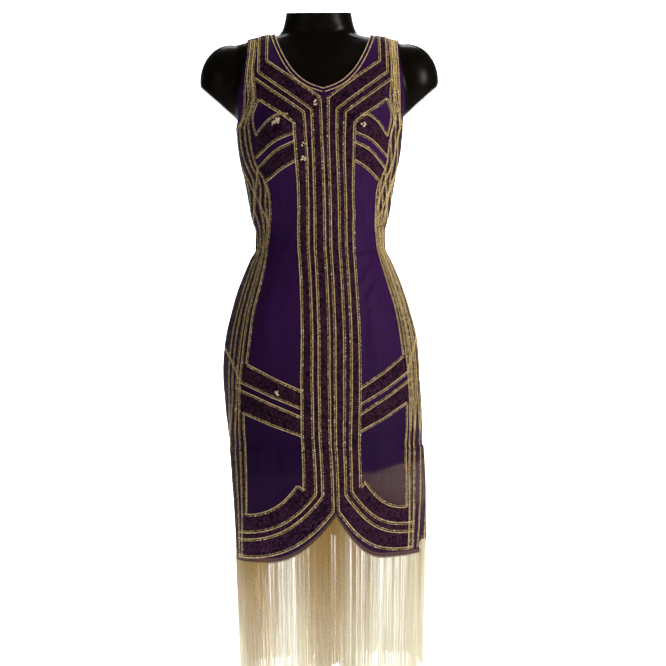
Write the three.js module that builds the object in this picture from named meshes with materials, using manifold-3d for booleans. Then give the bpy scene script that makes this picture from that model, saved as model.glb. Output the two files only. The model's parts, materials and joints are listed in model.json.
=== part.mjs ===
// Sleeveless flapper dress with a scalloped hem and hanging fringe, worn by a black torso form on a stand.
// Millimetres, +Z up, the front faces -Y, and the origin is under the middle of the stand's base.
import * as THREE from "three";
import { mergeVertices } from "three/addons/utils/BufferGeometryUtils.js";
import Module from "manifold-3d";

const wasm = await Module();
wasm.setup();

// Cloth layers, measured outwards from the net's inner face
const CLOTH = { net: 1.2, lining: 1.0, layerGap: 0.4, seamGap: 0.3 };
const LINING_OUTER = -CLOTH.layerGap;
const LINING_INNER = LINING_OUTER - CLOTH.lining;

// Levels and reaches of the cut
const LEVEL = { liningHem: 385, chest: 940, underarm: 961, backHem: 258 };
const HEM_HALF_WIDTH = 159;
const SCALLOP = { low: 237, notchRise: 73, notchReach: 112, tilt: 0.04 };
const NECK = { halfWidth: 81, frontLevel: 1017, backLevel: 1078, veeShare: 0.25, roundness: 3 };
const STRAP = { outerReach: 127, shift: 7 };
const ARMHOLE = { underarmReach: 141, drop: 1.5, sweep: 3.2 };
const BUST = { reach: 70, level: 948, spreadX: 44, spreadZ: 46, rise: 15 };

// Fringe sewn round the hem: a narrow header strip with flat locks of strands hanging from it
const HEADER = { rise: 6, drop: 1.5, thick: 1.6, gap: 0.3 };
const LOCK = { count: 64, width: 4, length: 206, uneven: 3, taper: 0.7 };

// Torso form and its stand
const FORM = { bottom: 420, ringSides: 32, neckTilt: 0.16, fineFrom: 1090, inset: 1.5 };
const ARM_CAP = { x: 150, y: 4, z: 1040, rx: 53, ry: 42, rz: 64, columns: 20, rows: 12 };
const ARM_CUT = { x: 139, z: 975, runX: 62, runZ: 55, block: 200 };
const POLE = { radius: 12.5, sides: 24, gap: 0.3 };
const BASE = { radius: 150, height: 8, bevel: 2, sides: 48 };

// Level rings of the figure, from the hem up. front and back are depths from midY, and ease is how far the
// net's inner face stands off the figure.
const SECTIONS = [
  { level: 200, halfWidth: 138, front: 86, back: 98, midY: 0, ease: 19 },
  { level: 300, halfWidth: 138, front: 86, back: 98, midY: 0, ease: 22.8 },
  { level: 376, halfWidth: 138, front: 86, back: 98, midY: 0, ease: 24.8 },
  { level: 420, halfWidth: 138, front: 86, back: 98, midY: 0, ease: 24.8 },
  { level: 450, halfWidth: 147, front: 93, back: 108, midY: 0, ease: 16 },
  { level: 500, halfWidth: 157, front: 101, back: 120, midY: 0, ease: 8 },
  { level: 550, halfWidth: 160.5, front: 105, back: 126, midY: 0, ease: 4.2 },
  { level: 600, halfWidth: 156.5, front: 105, back: 122, midY: 0, ease: 4 },
  { level: 651, halfWidth: 144.5, front: 102, back: 112, midY: 0, ease: 3.8 },
  { level: 692, halfWidth: 132, front: 97, back: 100, midY: 0, ease: 3.8 },
  { level: 733, halfWidth: 115, front: 90, back: 88, midY: 0, ease: 3.8 },
  { level: 755, halfWidth: 105, front: 87, back: 82, midY: 0, ease: 3.4 },
  { level: 785, halfWidth: 105, front: 86, back: 80, midY: 0, ease: 3.2 },
  { level: 808, halfWidth: 109, front: 89, back: 81, midY: 0, ease: 5 },
  { level: 825, halfWidth: 112, front: 92, back: 83, midY: 0, ease: 5.5 },
  { level: 870, halfWidth: 122, front: 100, back: 89, midY: 0, ease: 3.5 },
  { level: 916, halfWidth: 132, front: 106, back: 95, midY: 0, ease: 2.6 },
  { level: 961, halfWidth: 138, front: 106, back: 98, midY: 0, ease: 2.4 },
  { level: 980, halfWidth: 143, front: 103, back: 98, midY: 0, ease: 2.5 },
  { level: 1000, halfWidth: 153, front: 99, back: 97, midY: 0, ease: 2.5 },
  { level: 1029, halfWidth: 160, front: 91, back: 95, midY: 0, ease: 2 },
  { level: 1050, halfWidth: 161, front: 81, back: 90, midY: 1, ease: 1.7 },
  { level: 1070, halfWidth: 161, front: 70, back: 82, midY: 3, ease: 1.6 },
  { level: 1085, halfWidth: 160, front: 61, back: 72, midY: 5, ease: 1.5 },
  { level: 1096, halfWidth: 155, front: 54, back: 62, midY: 6, ease: 1.4 },
  { level: 1103, halfWidth: 145, front: 50, back: 56, midY: 7, ease: 1.3 },
  { level: 1109, halfWidth: 125, front: 47, back: 52, midY: 8, ease: 1.3 },
  { level: 1114, halfWidth: 100, front: 46, back: 50, midY: 8, ease: 1.3 },
  { level: 1119, halfWidth: 75, front: 46, back: 48, midY: 8, ease: 1.3 },
  { level: 1124, halfWidth: 67, front: 47, back: 48, midY: 8, ease: 1.3 },
  { level: 1134, halfWidth: 62, front: 50, back: 50, midY: 8, ease: 1.3 },
  { level: 1158, halfWidth: 57, front: 52, back: 52, midY: 6, ease: 1.3 },
];

// How the cloth hangs off the figure's own middle: sway shifts it along X, and in degrees frontTurn carries
// the front centre towards +X and seamTurn brings the +X side seam forward.
const HANG = [
  { level: 200, sway: 15, frontTurn: 2.5, seamTurn: 24 },
  { level: 300, sway: 14, frontTurn: 3.5, seamTurn: 18 },
  { level: 376, sway: 11, frontTurn: 5, seamTurn: 13.4 },
  { level: 450, sway: 6, frontTurn: 6.5, seamTurn: 7 },
  { level: 550, sway: 0, frontTurn: 7, seamTurn: 0 },
  { level: 750, sway: 0, frontTurn: 6.8, seamTurn: 0 },
  { level: 940, sway: 0, frontTurn: 4, seamTurn: 0 },
];

// Soft folds of the hanging skirt. Angle is round from the front centre, depth is outwards.
const FOLDS = [
  { angle: -58, spread: 11, depth: 2.5, foot: 225, head: 500 },
  { angle: -34, spread: 10, depth: -3.5, foot: 225, head: 470 },
  { angle: 24, spread: 10, depth: -2.5, foot: 225, head: 440 },
  { angle: 52, spread: 11, depth: 3.0, foot: 225, head: 500 },
  { angle: 128, spread: 11, depth: 3.0, foot: 225, head: 490 },
  { angle: 156, spread: 10, depth: -3.0, foot: 225, head: 460 },
  { angle: 192, spread: 11, depth: 3.0, foot: 225, head: 500 },
  { angle: 226, spread: 10, depth: -3.0, foot: 225, head: 470 },
];

// Rows of the panel grid: those under the lining's hem, the levels that both layers share, and the chest's
const HEM_ROWS = 3;
const LINED_LEVELS = [385, 430, 480, 545, 612, 668, 715, 750];
const BODICE_LEVELS = [788, 820, 862, 902, 940];
const CHEST_ROWS = 8;
const CHEST_ROW_POWER = 2.4;

// Columns of half a panel, by what their top end meets
const NECK_SHARES = [0, 0.32, 0.6, 0.81, 0.93, 0.985, 1];
const STRAP_COLUMNS = 2;
const ARMHOLE_COLUMNS = 6;

// How closely the shoulder's ridge is found
const RIDGE_TOLERANCE = 1e-6;

const FRONT = { name: "front", sign: -1 };
const BACK = { name: "back", sign: 1 };

const RIGHT_ANGLE = Math.PI / 2;
const toRadians = THREE.MathUtils.degToRad;
const smooth = THREE.MathUtils.smoothstep;
const mix = THREE.MathUtils.lerp;

// Slope of one column at a row, limited so that the curve between rows doesn't overshoot.
function slopeAt(rows, key, i) {
  const before = i > 0 ? (rows[i][key] - rows[i - 1][key]) / (rows[i].level - rows[i - 1].level) : null;
  const after =
    i < rows.length - 1 ? (rows[i + 1][key] - rows[i][key]) / (rows[i + 1].level - rows[i].level) : null;
  if (before === null) return after;
  if (after === null) return before;
  if (before * after <= 0) return 0;
  return (2 * before * after) / (before + after);
}

// One column of a table at any level, by cubic pieces between the rows.
function tableValue(rows, key, level) {
  const last = rows.length - 2;
  const found = rows.findIndex((row, i) => i <= last && level < rows[i + 1].level);
  const i = found < 0 ? last : found;
  const low = rows[i];
  const high = rows[i + 1];
  const span = high.level - low.level;
  const t = THREE.MathUtils.clamp((level - low.level) / span, 0, 1);
  const rise = t * t * (3 - 2 * t);
  const leave = t * (1 - t) * (1 - t) * span * slopeAt(rows, key, i);
  const arrive = t * t * (1 - t) * span * slopeAt(rows, key, i + 1);
  return low[key] + (high[key] - low[key]) * rise + leave - arrive;
}

const sectionValue = (key, level) => tableValue(SECTIONS, key, level);
const hangValue = (key, level) => tableValue(HANG, key, level);

// How far the two shaped cups lift the front at a place.
function bustRise(x, level) {
  const up = ((level - BUST.level) / BUST.spreadZ) ** 2;
  const cup = (side) => Math.exp(-(((x - side * BUST.reach) / BUST.spreadX) ** 2) - up);
  return BUST.rise * (cup(-1) + cup(1));
}

// A point of the figure. Angle 0 is the front centre and a quarter turn is the +X side.
function figurePoint(angle, level) {
  const x = sectionValue("halfWidth", level) * Math.sin(angle);
  const ahead = Math.cos(angle);
  const depth = sectionValue(ahead > 0 ? "front" : "back", level) * ahead;
  const cups = ahead > 0 ? bustRise(x, level) * ahead : 0;
  return new THREE.Vector3(x, sectionValue("midY", level) - depth - cups, level);
}

// Outward direction of the figure's surface at a place.
function figureNormal(angle, level) {
  const turn = 0.01;
  const step = 0.25;
  const around = figurePoint(angle + turn, level).sub(figurePoint(angle - turn, level));
  const upwards = figurePoint(angle, level + step).sub(figurePoint(angle, level - step));
  return around.cross(upwards).normalize();
}

// How far the skirt's folds move the cloth outwards at a place.
function foldRise(angle, level) {
  const degrees = THREE.MathUtils.euclideanModulo(THREE.MathUtils.radToDeg(angle) + 90, 360) - 90;
  return FOLDS.reduce((sum, fold) => {
    const across = Math.exp(-(((degrees - fold.angle) / fold.spread) ** 2));
    const along = 1 - smooth(level, fold.foot, fold.head);
    return sum + fold.depth * across * along;
  }, 0);
}

// A point of the cloth, a given distance outside the net's inner face.
function clothPoint(angle, level, offset) {
  const off = sectionValue("ease", level) + foldRise(angle, level) + offset;
  const point = figurePoint(angle, level).addScaledVector(figureNormal(angle, level), off);
  point.x += hangValue("sway", level);
  return point;
}

// Level of the shoulder's ridge at a sideways reach, found by halving.
function ridgeLevel(x) {
  let low = FORM.fineFrom;
  let high = SECTIONS[SECTIONS.length - 1].level;
  while (high - low > RIDGE_TOLERANCE) {
    const middle = (low + high) / 2;
    if (sectionValue("halfWidth", middle) > Math.abs(x)) low = middle;
    else high = middle;
  }
  return (low + high) / 2;
}

// Top end on the neck edge, a share of the way from its middle: a soft vee in front, a round scoop behind.
function neckTop(side, sideways, share) {
  const vee = side === FRONT ? NECK.veeShare : 0;
  const bottom = side === FRONT ? NECK.frontLevel : NECK.backLevel;
  const curve = vee * share + (1 - vee) * share ** NECK.roundness;
  const edge = sideways * NECK.halfWidth + STRAP.shift;
  return { x: mix(STRAP.shift, edge, share), level: mix(bottom, ridgeLevel(edge), curve) };
}

// Top end on the shoulder seam, a share of the way across the strap.
function strapTop(sideways, share) {
  const x = sideways * mix(NECK.halfWidth, STRAP.outerReach, share) + STRAP.shift;
  return { x, level: ridgeLevel(x) };
}

// Top end on the armhole, a share of the way from the shoulder to the underarm.
function armholeTop(sideways, share) {
  const tip = strapTop(sideways, 1);
  const level = mix(tip.level, LEVEL.underarm, smooth(share ** ARMHOLE.drop, 0, 1));
  return { x: mix(tip.x, sideways * ARMHOLE.underarmReach, share ** ARMHOLE.sweep), level };
}

// Columns of half a panel from the centre out, each with its turn round the body and its top end.
function halfColumns(side, sideways) {
  const evenShares = (count) => Array.from({ length: count }, (_, i) => (i + 1) / count);
  const tops = [
    ...NECK_SHARES.map((share) => neckTop(side, sideways, share)),
    ...evenShares(STRAP_COLUMNS).map((share) => strapTop(sideways, share)),
    ...evenShares(ARMHOLE_COLUMNS).map((share) => armholeTop(sideways, share)),
  ];
  return tops.map((top, i) => ({ turn: (sideways * i * RIGHT_ANGLE) / (tops.length - 1), top }));
}

// All columns of a panel from -X to +X.
function panelColumns(side) {
  return [...halfColumns(side, -1).slice(1).reverse(), ...halfColumns(side, 1)];
}

// Level of the hem at a sideways reach: two scallops meeting in a notch in front, level behind.
function hemLevel(side, x) {
  if (side === BACK) return LEVEL.backHem + SCALLOP.tilt * x;
  const near = Math.max(0, 1 - Math.abs(x) / SCALLOP.notchReach);
  return SCALLOP.low + SCALLOP.notchRise * near ** 2 + SCALLOP.tilt * x;
}

// Level where a column leaves the hem.
function columnFoot(side, column) {
  return hemLevel(side, HEM_HALF_WIDTH * Math.sin(column.turn));
}

// Turn of a column round the body at a level, with the cloth's own twist on the figure.
function hangingTurn(side, turn, level) {
  const seam = turn > 0 ? (toRadians(hangValue("seamTurn", level)) * turn) / RIGHT_ANGLE : 0;
  if (side === BACK) return Math.PI - turn - seam;
  return turn - seam + toRadians(hangValue("frontTurn", level)) * Math.cos(turn);
}

// The angle on the figure of a column at a level, going from its turn round the body to its top end.
function columnAngle(side, column, level) {
  const turn = hangingTurn(side, column.turn, level);
  if (level <= LEVEL.chest) return turn;
  const halfWidth = sectionValue("halfWidth", level);
  const x = mix(halfWidth * Math.sin(turn), column.top.x, smooth(level, LEVEL.chest, column.top.level));
  const angle = Math.asin(THREE.MathUtils.clamp(x / halfWidth, -1, 1));
  return side === FRONT ? angle : Math.PI - angle;
}

// Levels of one of the net's columns from its foot to its top end.
function netLevels(side, column) {
  const foot = columnFoot(side, column);
  const hem = Array.from({ length: HEM_ROWS }, (_, i) => mix(foot, LEVEL.liningHem, i / HEM_ROWS));
  const rest = column.top.level - LEVEL.chest;
  const chest = Array.from({ length: CHEST_ROWS }, (_, i) => {
    return column.top.level - rest * (1 - (i + 1) / CHEST_ROWS) ** CHEST_ROW_POWER;
  });
  return [...hem, ...LINED_LEVELS, ...BODICE_LEVELS, ...chest];
}

// Grid of a panel's points at one distance outside the net's inner face, rows from the hem up.
function panelGrid(side, offset, levelsOf) {
  const columns = panelColumns(side).map((column) =>
    levelsOf(side, column).map((level) => {
      const point = clothPoint(columnAngle(side, column, level), level, offset);
      point.y += (side.sign * CLOTH.seamGap) / 2;
      return point;
    }),
  );
  return columns[0].map((_, row) => columns.map((column) => column[row]));
}

// Gathers four-sided faces, given in the order seen from outside a front panel.
function faceList(side) {
  const index = [];
  const quad = (a, b, c, d) => {
    if (side === FRONT) index.push(a, b, c, a, c, d);
    else index.push(a, c, b, a, d, c);
  };
  return { index, quad };
}

// Geometry of points and the faces between them.
function meshGeometry(points, index) {
  const geometry = new THREE.BufferGeometry().setFromPoints(points);
  geometry.setIndex(index);
  return geometry;
}

// Closed wall between an outer and an inner grid of points, with its four edges.
function wallGeometry(outer, inner, side) {
  const rows = outer.length;
  const columns = outer[0].length;
  const at = (layer, row, column) => (layer * rows + row) * columns + column;
  const { index, quad } = faceList(side);
  for (let r = 0; r < rows - 1; r += 1) {
    for (let c = 0; c < columns - 1; c += 1) {
      quad(at(0, r, c), at(0, r, c + 1), at(0, r + 1, c + 1), at(0, r + 1, c));
      quad(at(1, r, c), at(1, r + 1, c), at(1, r + 1, c + 1), at(1, r, c + 1));
    }
    const end = columns - 1;
    quad(at(0, r, 0), at(0, r + 1, 0), at(1, r + 1, 0), at(1, r, 0));
    quad(at(0, r, end), at(1, r, end), at(1, r + 1, end), at(0, r + 1, end));
  }
  for (let c = 0; c < columns - 1; c += 1) {
    const top = rows - 1;
    quad(at(0, 0, c), at(1, 0, c), at(1, 0, c + 1), at(0, 0, c + 1));
    quad(at(0, top, c), at(0, top, c + 1), at(1, top, c + 1), at(1, top, c));
  }
  return meshGeometry([...outer.flat(), ...inner.flat()], index);
}

// Sheer outer panel, from the scalloped hem to the neck, shoulder and armhole edges.
function netPanel(side) {
  return wallGeometry(panelGrid(side, CLOTH.net, netLevels), panelGrid(side, 0, netLevels), side);
}

// Skirt lining inside the net, hanging from the waist and ending above the hem.
function liningPanel(side) {
  const levels = () => LINED_LEVELS;
  return wallGeometry(panelGrid(side, LINING_OUTER, levels), panelGrid(side, LINING_INNER, levels), side);
}

// Solid for joining and cutting, from a closed geometry.
function toSolid(geometry) {
  const bare = geometry.clone();
  bare.deleteAttribute("normal");
  bare.deleteAttribute("uv");
  const merged = mergeVertices(bare);
  const vertProperties = new Float32Array(merged.getAttribute("position").array);
  const triVerts = new Uint32Array(merged.index.array);
  return new wasm.Manifold(new wasm.Mesh({ numProp: 3, vertProperties, triVerts }));
}

// Geometry of a joined or cut solid.
function toGeometry(solid) {
  const mesh = solid.getMesh();
  const geometry = new THREE.BufferGeometry();
  geometry.setAttribute("position", new THREE.BufferAttribute(new Float32Array(mesh.vertProperties), 3));
  geometry.setIndex(new THREE.BufferAttribute(new Uint32Array(mesh.triVerts), 1));
  return geometry;
}

// Two rows of points along the hem, on the net's own points moved out, for one face of the header strip.
function headerGrid(side, offset) {
  const [hemRow, nextRow] = panelGrid(side, CLOTH.net, netLevels);
  const columns = panelColumns(side);
  return [-HEADER.drop, HEADER.rise].map((rise) =>
    hemRow.map((foot, i) => {
      const along = nextRow[i].clone().sub(foot).normalize();
      const out = figureNormal(columnAngle(side, columns[i], foot.z), foot.z);
      return foot.clone().addScaledVector(along, rise).addScaledVector(out, offset);
    }),
  );
}

// Places along a line of points where each lock begins and ends, with the line's own two ends.
function lockStations(line) {
  const lengths = line.slice(1).map((point, i) => point.distanceTo(line[i]));
  const total = lengths.reduce((sum, length) => sum + length, 0);
  const pitch = total / LOCK.count;
  const stops = [0];
  for (let i = 0; i < LOCK.count; i += 1) {
    const middle = (i + 0.5) * pitch;
    stops.push(middle - LOCK.width / 2, middle + LOCK.width / 2);
  }
  stops.push(total);
  return stops.map((stop) => {
    let segment = 0;
    let rest = stop;
    while (segment < lengths.length - 1 && rest > lengths[segment]) {
      rest -= lengths[segment];
      segment += 1;
    }
    return { segment, share: rest / lengths[segment] };
  });
}

// The free end of a lock, under the four corners of its root and a little smaller.
function lockTip(corners, length) {
  const middle = corners.reduce((sum, corner) => sum.add(corner), new THREE.Vector3()).divideScalar(4);
  return corners.map((corner) => {
    const tip = corner.clone().lerp(middle, 1 - LOCK.taper);
    tip.z = middle.z - length;
    return tip;
  });
}

// Header strip with its locks hanging from its lower edge, evenly spaced and a little uneven in length.
function fringe(side) {
  const outer = headerGrid(side, HEADER.gap + HEADER.thick);
  const inner = headerGrid(side, HEADER.gap);
  const stations = lockStations(outer[0]);
  const at = (row, { segment, share }) => row[segment].clone().lerp(row[segment + 1], share);
  const along = (row) => stations.map((station) => at(row, station));
  const points = [outer[0], outer[1], inner[0], inner[1]].flatMap(along);
  const count = stations.length;
  const [outerLow, outerTop, innerLow, innerTop] = [0, 1, 2, 3].map((row) => row * count);
  const { index, quad } = faceList(side);
  for (let i = 0; i < count - 1; i += 1) {
    const next = i + 1;
    quad(outerLow + i, outerLow + next, outerTop + next, outerTop + i);
    quad(innerLow + i, innerTop + i, innerTop + next, innerLow + next);
    quad(outerTop + i, outerTop + next, innerTop + next, innerTop + i);
    const root = [outerLow + i, outerLow + next, innerLow + next, innerLow + i];
    if (i % 2 === 0) {
      quad(root[0], root[3], root[2], root[1]);
    } else {
      const corners = root.map((corner) => points[corner]);
      const tip = points.push(...lockTip(corners, LOCK.length + LOCK.uneven * Math.sin(i * i))) - 4;
      root.forEach((corner, k) => quad(tip + k, tip + ((k + 1) % 4), root[(k + 1) % 4], corner));
      quad(tip, tip + 3, tip + 2, tip + 1);
    }
  }
  const last = count - 1;
  quad(outerLow, outerTop, innerTop, innerLow);
  quad(outerLow + last, innerLow + last, innerTop + last, outerTop + last);
  return meshGeometry(points, index);
}

// Closed loft through level rings of the figure, with flat ends.
function torsoGeometry() {
  const above = SECTIONS.map((row) => row.level).filter((level) => level >= FORM.bottom);
  const extra = above.slice(1).map((level, i) => (level + above[i]) / 2);
  const levels = [...above, ...extra.filter((level) => level > FORM.fineFrom)].sort((a, b) => a - b);
  const top = levels[levels.length - 1];
  const points = [];
  levels.forEach((level) => {
    for (let i = 0; i < FORM.ringSides; i += 1) {
      const angle = (i / FORM.ringSides) * 2 * Math.PI;
      const point = figurePoint(angle, level).addScaledVector(figureNormal(angle, level), -FORM.inset);
      if (level === FORM.bottom) point.z = level;
      if (level === top) point.z = level + FORM.neckTilt * (point.y - sectionValue("midY", level));
      points.push(point);
    }
  });
  const foot = points.push(new THREE.Vector3(0, sectionValue("midY", FORM.bottom), FORM.bottom)) - 1;
  const crown = points.push(new THREE.Vector3(0, sectionValue("midY", top), top)) - 1;
  const index = [];
  const sides = FORM.ringSides;
  const lastRing = (levels.length - 1) * sides;
  for (let i = 0; i < sides; i += 1) {
    const next = (i + 1) % sides;
    for (let ring = 0; ring < lastRing; ring += sides) {
      const upper = ring + sides;
      index.push(ring + i, ring + next, upper + next, ring + i, upper + next, upper + i);
    }
    index.push(foot, next, i, crown, lastRing + i, lastRing + next);
  }
  return meshGeometry(points, index);
}

// Rounded shoulder cap, cut off flat by a slanting plane under it.
function armCap(sideways) {
  const ball = new THREE.SphereGeometry(1, ARM_CAP.columns, ARM_CAP.rows);
  ball.scale(ARM_CAP.rx, ARM_CAP.ry, ARM_CAP.rz);
  ball.translate(sideways * ARM_CAP.x, ARM_CAP.y, ARM_CAP.z);
  const block = new THREE.BoxGeometry(ARM_CUT.block, ARM_CUT.block, ARM_CUT.block);
  block.translate(0, 0, -ARM_CUT.block / 2);
  block.rotateY(-sideways * Math.atan2(ARM_CUT.runZ, ARM_CUT.runX));
  block.translate(sideways * ARM_CUT.x, 0, ARM_CUT.z);
  return toSolid(ball).subtract(toSolid(block));
}

// Torso form with its two shoulder caps, in one smooth body.
function torsoForm() {
  return toGeometry(toSolid(torsoGeometry()).add(armCap(-1)).add(armCap(1)));
}

// Round post between the base and the form's flat underside.
function pole() {
  const foot = BASE.height + POLE.gap;
  const length = FORM.bottom - POLE.gap - foot;
  const geometry = new THREE.CylinderGeometry(POLE.radius, POLE.radius, length, POLE.sides);
  geometry.rotateX(RIGHT_ANGLE);
  geometry.translate(0, 0, foot + length / 2);
  return geometry;
}

// Flat round plate with a bevelled upper edge.
function base() {
  const profile = [
    new THREE.Vector2(0, 0),
    new THREE.Vector2(BASE.radius, 0),
    new THREE.Vector2(BASE.radius, BASE.height - BASE.bevel),
    new THREE.Vector2(BASE.radius - BASE.bevel, BASE.height),
    new THREE.Vector2(0, BASE.height),
  ];
  const geometry = new THREE.LatheGeometry(profile, BASE.sides);
  geometry.rotateX(RIGHT_ANGLE);
  return geometry;
}

const MATERIALS = {
  net: new THREE.MeshStandardMaterial({ color: 0x2c1440, roughness: 0.6, metalness: 0.1 }),
  lining: new THREE.MeshStandardMaterial({ color: 0x3d1c66, roughness: 0.45, metalness: 0 }),
  fringe: new THREE.MeshStandardMaterial({ color: 0xcdb78a, roughness: 0.45, metalness: 0.2 }),
  form: new THREE.MeshStandardMaterial({ color: 0x0d0c0a, roughness: 0.4, metalness: 0 }),
  steel: new THREE.MeshStandardMaterial({ color: 0xb9b9b6, roughness: 0.35, metalness: 0.9 }),
};

const dress = new THREE.Group();

// Adds one named piece to the model.
function addPiece(name, geometry, material) {
  const mesh = new THREE.Mesh(geometry, material);
  mesh.name = name;
  dress.add(mesh);
}

for (const side of [FRONT, BACK]) {
  addPiece(`net_${side.name}`, netPanel(side), MATERIALS.net);
  addPiece(`lining_${side.name}`, liningPanel(side), MATERIALS.lining);
  addPiece(`fringe_${side.name}`, fringe(side), MATERIALS.fringe);
}
addPiece("form_torso", torsoForm(), MATERIALS.form);
addPiece("form_pole", pole(), MATERIALS.steel);
addPiece("form_base", base(), MATERIALS.steel);

export default dress;
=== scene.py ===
"""Looks of a sleeveless beaded flapper dress with a long fringe, worn by a black torso form.

Sizes are in millimetres in the tables and become metres when a mesh is made.
+Z is up and the front faces -Y.
"""

import json
import logging
import math
from dataclasses import dataclass, field
from enum import Enum
from typing import Any, Sequence

import bmesh
import bpy
import numpy as np
from bpy.types import Material, Mesh, Node, NodeSocket, NodeTree, Object
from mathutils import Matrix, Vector

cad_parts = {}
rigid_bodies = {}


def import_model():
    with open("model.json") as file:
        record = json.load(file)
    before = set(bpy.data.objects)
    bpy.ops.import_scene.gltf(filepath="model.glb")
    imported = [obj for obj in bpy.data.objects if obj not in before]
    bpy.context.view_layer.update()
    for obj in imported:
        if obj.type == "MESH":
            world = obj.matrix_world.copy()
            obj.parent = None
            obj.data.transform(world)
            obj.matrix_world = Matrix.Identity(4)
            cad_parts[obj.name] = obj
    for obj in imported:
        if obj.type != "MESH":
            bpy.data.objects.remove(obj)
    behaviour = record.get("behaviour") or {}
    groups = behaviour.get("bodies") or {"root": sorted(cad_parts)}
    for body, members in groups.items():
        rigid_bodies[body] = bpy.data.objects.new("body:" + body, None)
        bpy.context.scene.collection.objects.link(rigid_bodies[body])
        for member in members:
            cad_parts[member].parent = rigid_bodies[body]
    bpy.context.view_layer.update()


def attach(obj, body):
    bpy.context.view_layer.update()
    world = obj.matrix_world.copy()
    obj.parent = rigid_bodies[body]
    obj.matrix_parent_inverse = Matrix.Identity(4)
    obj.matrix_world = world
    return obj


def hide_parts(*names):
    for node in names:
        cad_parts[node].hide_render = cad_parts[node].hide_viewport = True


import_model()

LOG = logging.getLogger("flapper_dress")
Array = np.ndarray
MM = 0.001
BODY = "root"
RIGHT_ANGLE = math.pi / 2
SEED = 1926
TINY = 1e-9
NET_WALL = 1.2
WALL_SHARP_FROM = 50


class Side(Enum):
    """The two halves of the dress, with the sign of the Y axis that each one faces."""

    FRONT = -1
    BACK = 1

    @property
    def word(self) -> str:
        """Name of the side in piece names."""
        return self.name.lower()


class LevelTable:
    """Sizes by level, read between the rows by cubic pieces that don't overshoot."""

    def __init__(self, columns: Sequence[str], rows: Sequence[Sequence[float]]) -> None:
        """Keeps the rows as one array for each column.

        Args:
            columns: Names of the columns, the level first.
            rows: Numbers in millimetres or degrees, from the lowest level up.
        """
        cells = np.array(rows, float)
        self.levels = cells[:, 0]
        self.values = {name: cells[:, i] for i, name in enumerate(columns)}
        self.slopes = {name: self._slopes(self.values[name]) for name in columns}

    def _slopes(self, values: Array) -> Array:
        """Slope of one column at each row.

        Args:
            values: The column.

        Returns:
            One slope for each row, none where the column turns.
        """
        steps = np.diff(values) / np.diff(self.levels)
        before, after = steps[:-1], steps[1:]
        same = before * after > 0
        total = np.where(same, before + after, 1.0)
        inner = np.where(same, 2 * before * after / total, 0.0)
        return np.concatenate([steps[:1], inner, steps[-1:]])

    def at(self, name: str, level: Array) -> Array:
        """Value of one column at any levels.

        Args:
            name: The column.
            level: Levels in millimetres.

        Returns:
            The values, held at the ends of the table.
        """
        values, slopes = self.values[name], self.slopes[name]
        i = np.clip(np.searchsorted(self.levels, level, side="right") - 1, 0, len(self.levels) - 2)
        span = self.levels[i + 1] - self.levels[i]
        t = np.clip((level - self.levels[i]) / span, 0, 1)
        leave = t * (1 - t) ** 2 * span * slopes[i]
        arrive = t**2 * (1 - t) * span * slopes[i + 1]
        return values[i] + (values[i + 1] - values[i]) * t * t * (3 - 2 * t) + leave - arrive


SECTIONS = LevelTable(
    ("level", "half_width", "front", "back", "mid_y", "ease"),
    (
        (200, 138, 86, 98, 0, 19),
        (300, 138, 86, 98, 0, 22.8),
        (376, 138, 86, 98, 0, 24.8),
        (420, 138, 86, 98, 0, 24.8),
        (450, 147, 93, 108, 0, 16),
        (500, 157, 101, 120, 0, 8),
        (550, 160.5, 105, 126, 0, 4.2),
        (600, 156.5, 105, 122, 0, 4),
        (651, 144.5, 102, 112, 0, 3.8),
        (692, 132, 97, 100, 0, 3.8),
        (733, 115, 90, 88, 0, 3.8),
        (755, 105, 87, 82, 0, 3.4),
        (785, 105, 86, 80, 0, 3.2),
        (808, 109, 89, 81, 0, 5),
        (825, 112, 92, 83, 0, 5.5),
        (870, 122, 100, 89, 0, 3.5),
        (916, 132, 106, 95, 0, 2.6),
        (961, 138, 106, 98, 0, 2.4),
        (980, 143, 103, 98, 0, 2.5),
        (1000, 153, 99, 97, 0, 2.5),
        (1029, 160, 91, 95, 0, 2),
        (1050, 161, 81, 90, 1, 1.7),
        (1070, 161, 70, 82, 3, 1.6),
        (1085, 160, 61, 72, 5, 1.5),
        (1096, 155, 54, 62, 6, 1.4),
        (1103, 145, 50, 56, 7, 1.3),
        (1109, 125, 47, 52, 8, 1.3),
        (1114, 100, 46, 50, 8, 1.3),
        (1119, 75, 46, 48, 8, 1.3),
        (1124, 67, 47, 48, 8, 1.3),
        (1134, 62, 50, 50, 8, 1.3),
        (1158, 57, 52, 52, 6, 1.3),
    ),
)

HANG = LevelTable(
    ("level", "sway", "front_turn", "seam_turn"),
    (
        (200, 15, 2.5, 24),
        (300, 14, 3.5, 18),
        (376, 11, 4.1, 13.4),
        (450, 6, 4.7, 7),
        (500, 3, 5.6, 3.5),
        (550, 0, 6.4, 0),
        (640, 0, 6.8, 0),
        (750, 0, 6.8, 0),
        (940, 0, 4, 0),
    ),
)

# Inner line of the side bands, as a reach from the centre line.
SIDE_LINE = LevelTable(
    ("level", "reach"),
    (
        (250, 146),
        (316, 144),
        (490, 139.5),
        (567, 131),
        (640, 121),
        (700, 105),
        (750, 93),
        (800, 88),
        (840, 89),
        (867, 95),
        (888, 107),
        (905, 111),
        (941, 112),
        (974, 119),
        (1003, 112),
        (1036, 115),
        (1100, 113),
    ),
)


def smooth(value: Array, low: float | Array, high: float | Array) -> Array:
    """Soft step from 0 to 1 between two values."""
    t = np.clip((np.asarray(value, float) - low) / (high - low), 0, 1)
    return t * t * (3 - 2 * t)


def unit(vectors: Array) -> Array:
    """Vectors brought to a length of one."""
    return vectors / np.maximum(np.linalg.norm(vectors, axis=-1, keepdims=True), TINY)


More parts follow.
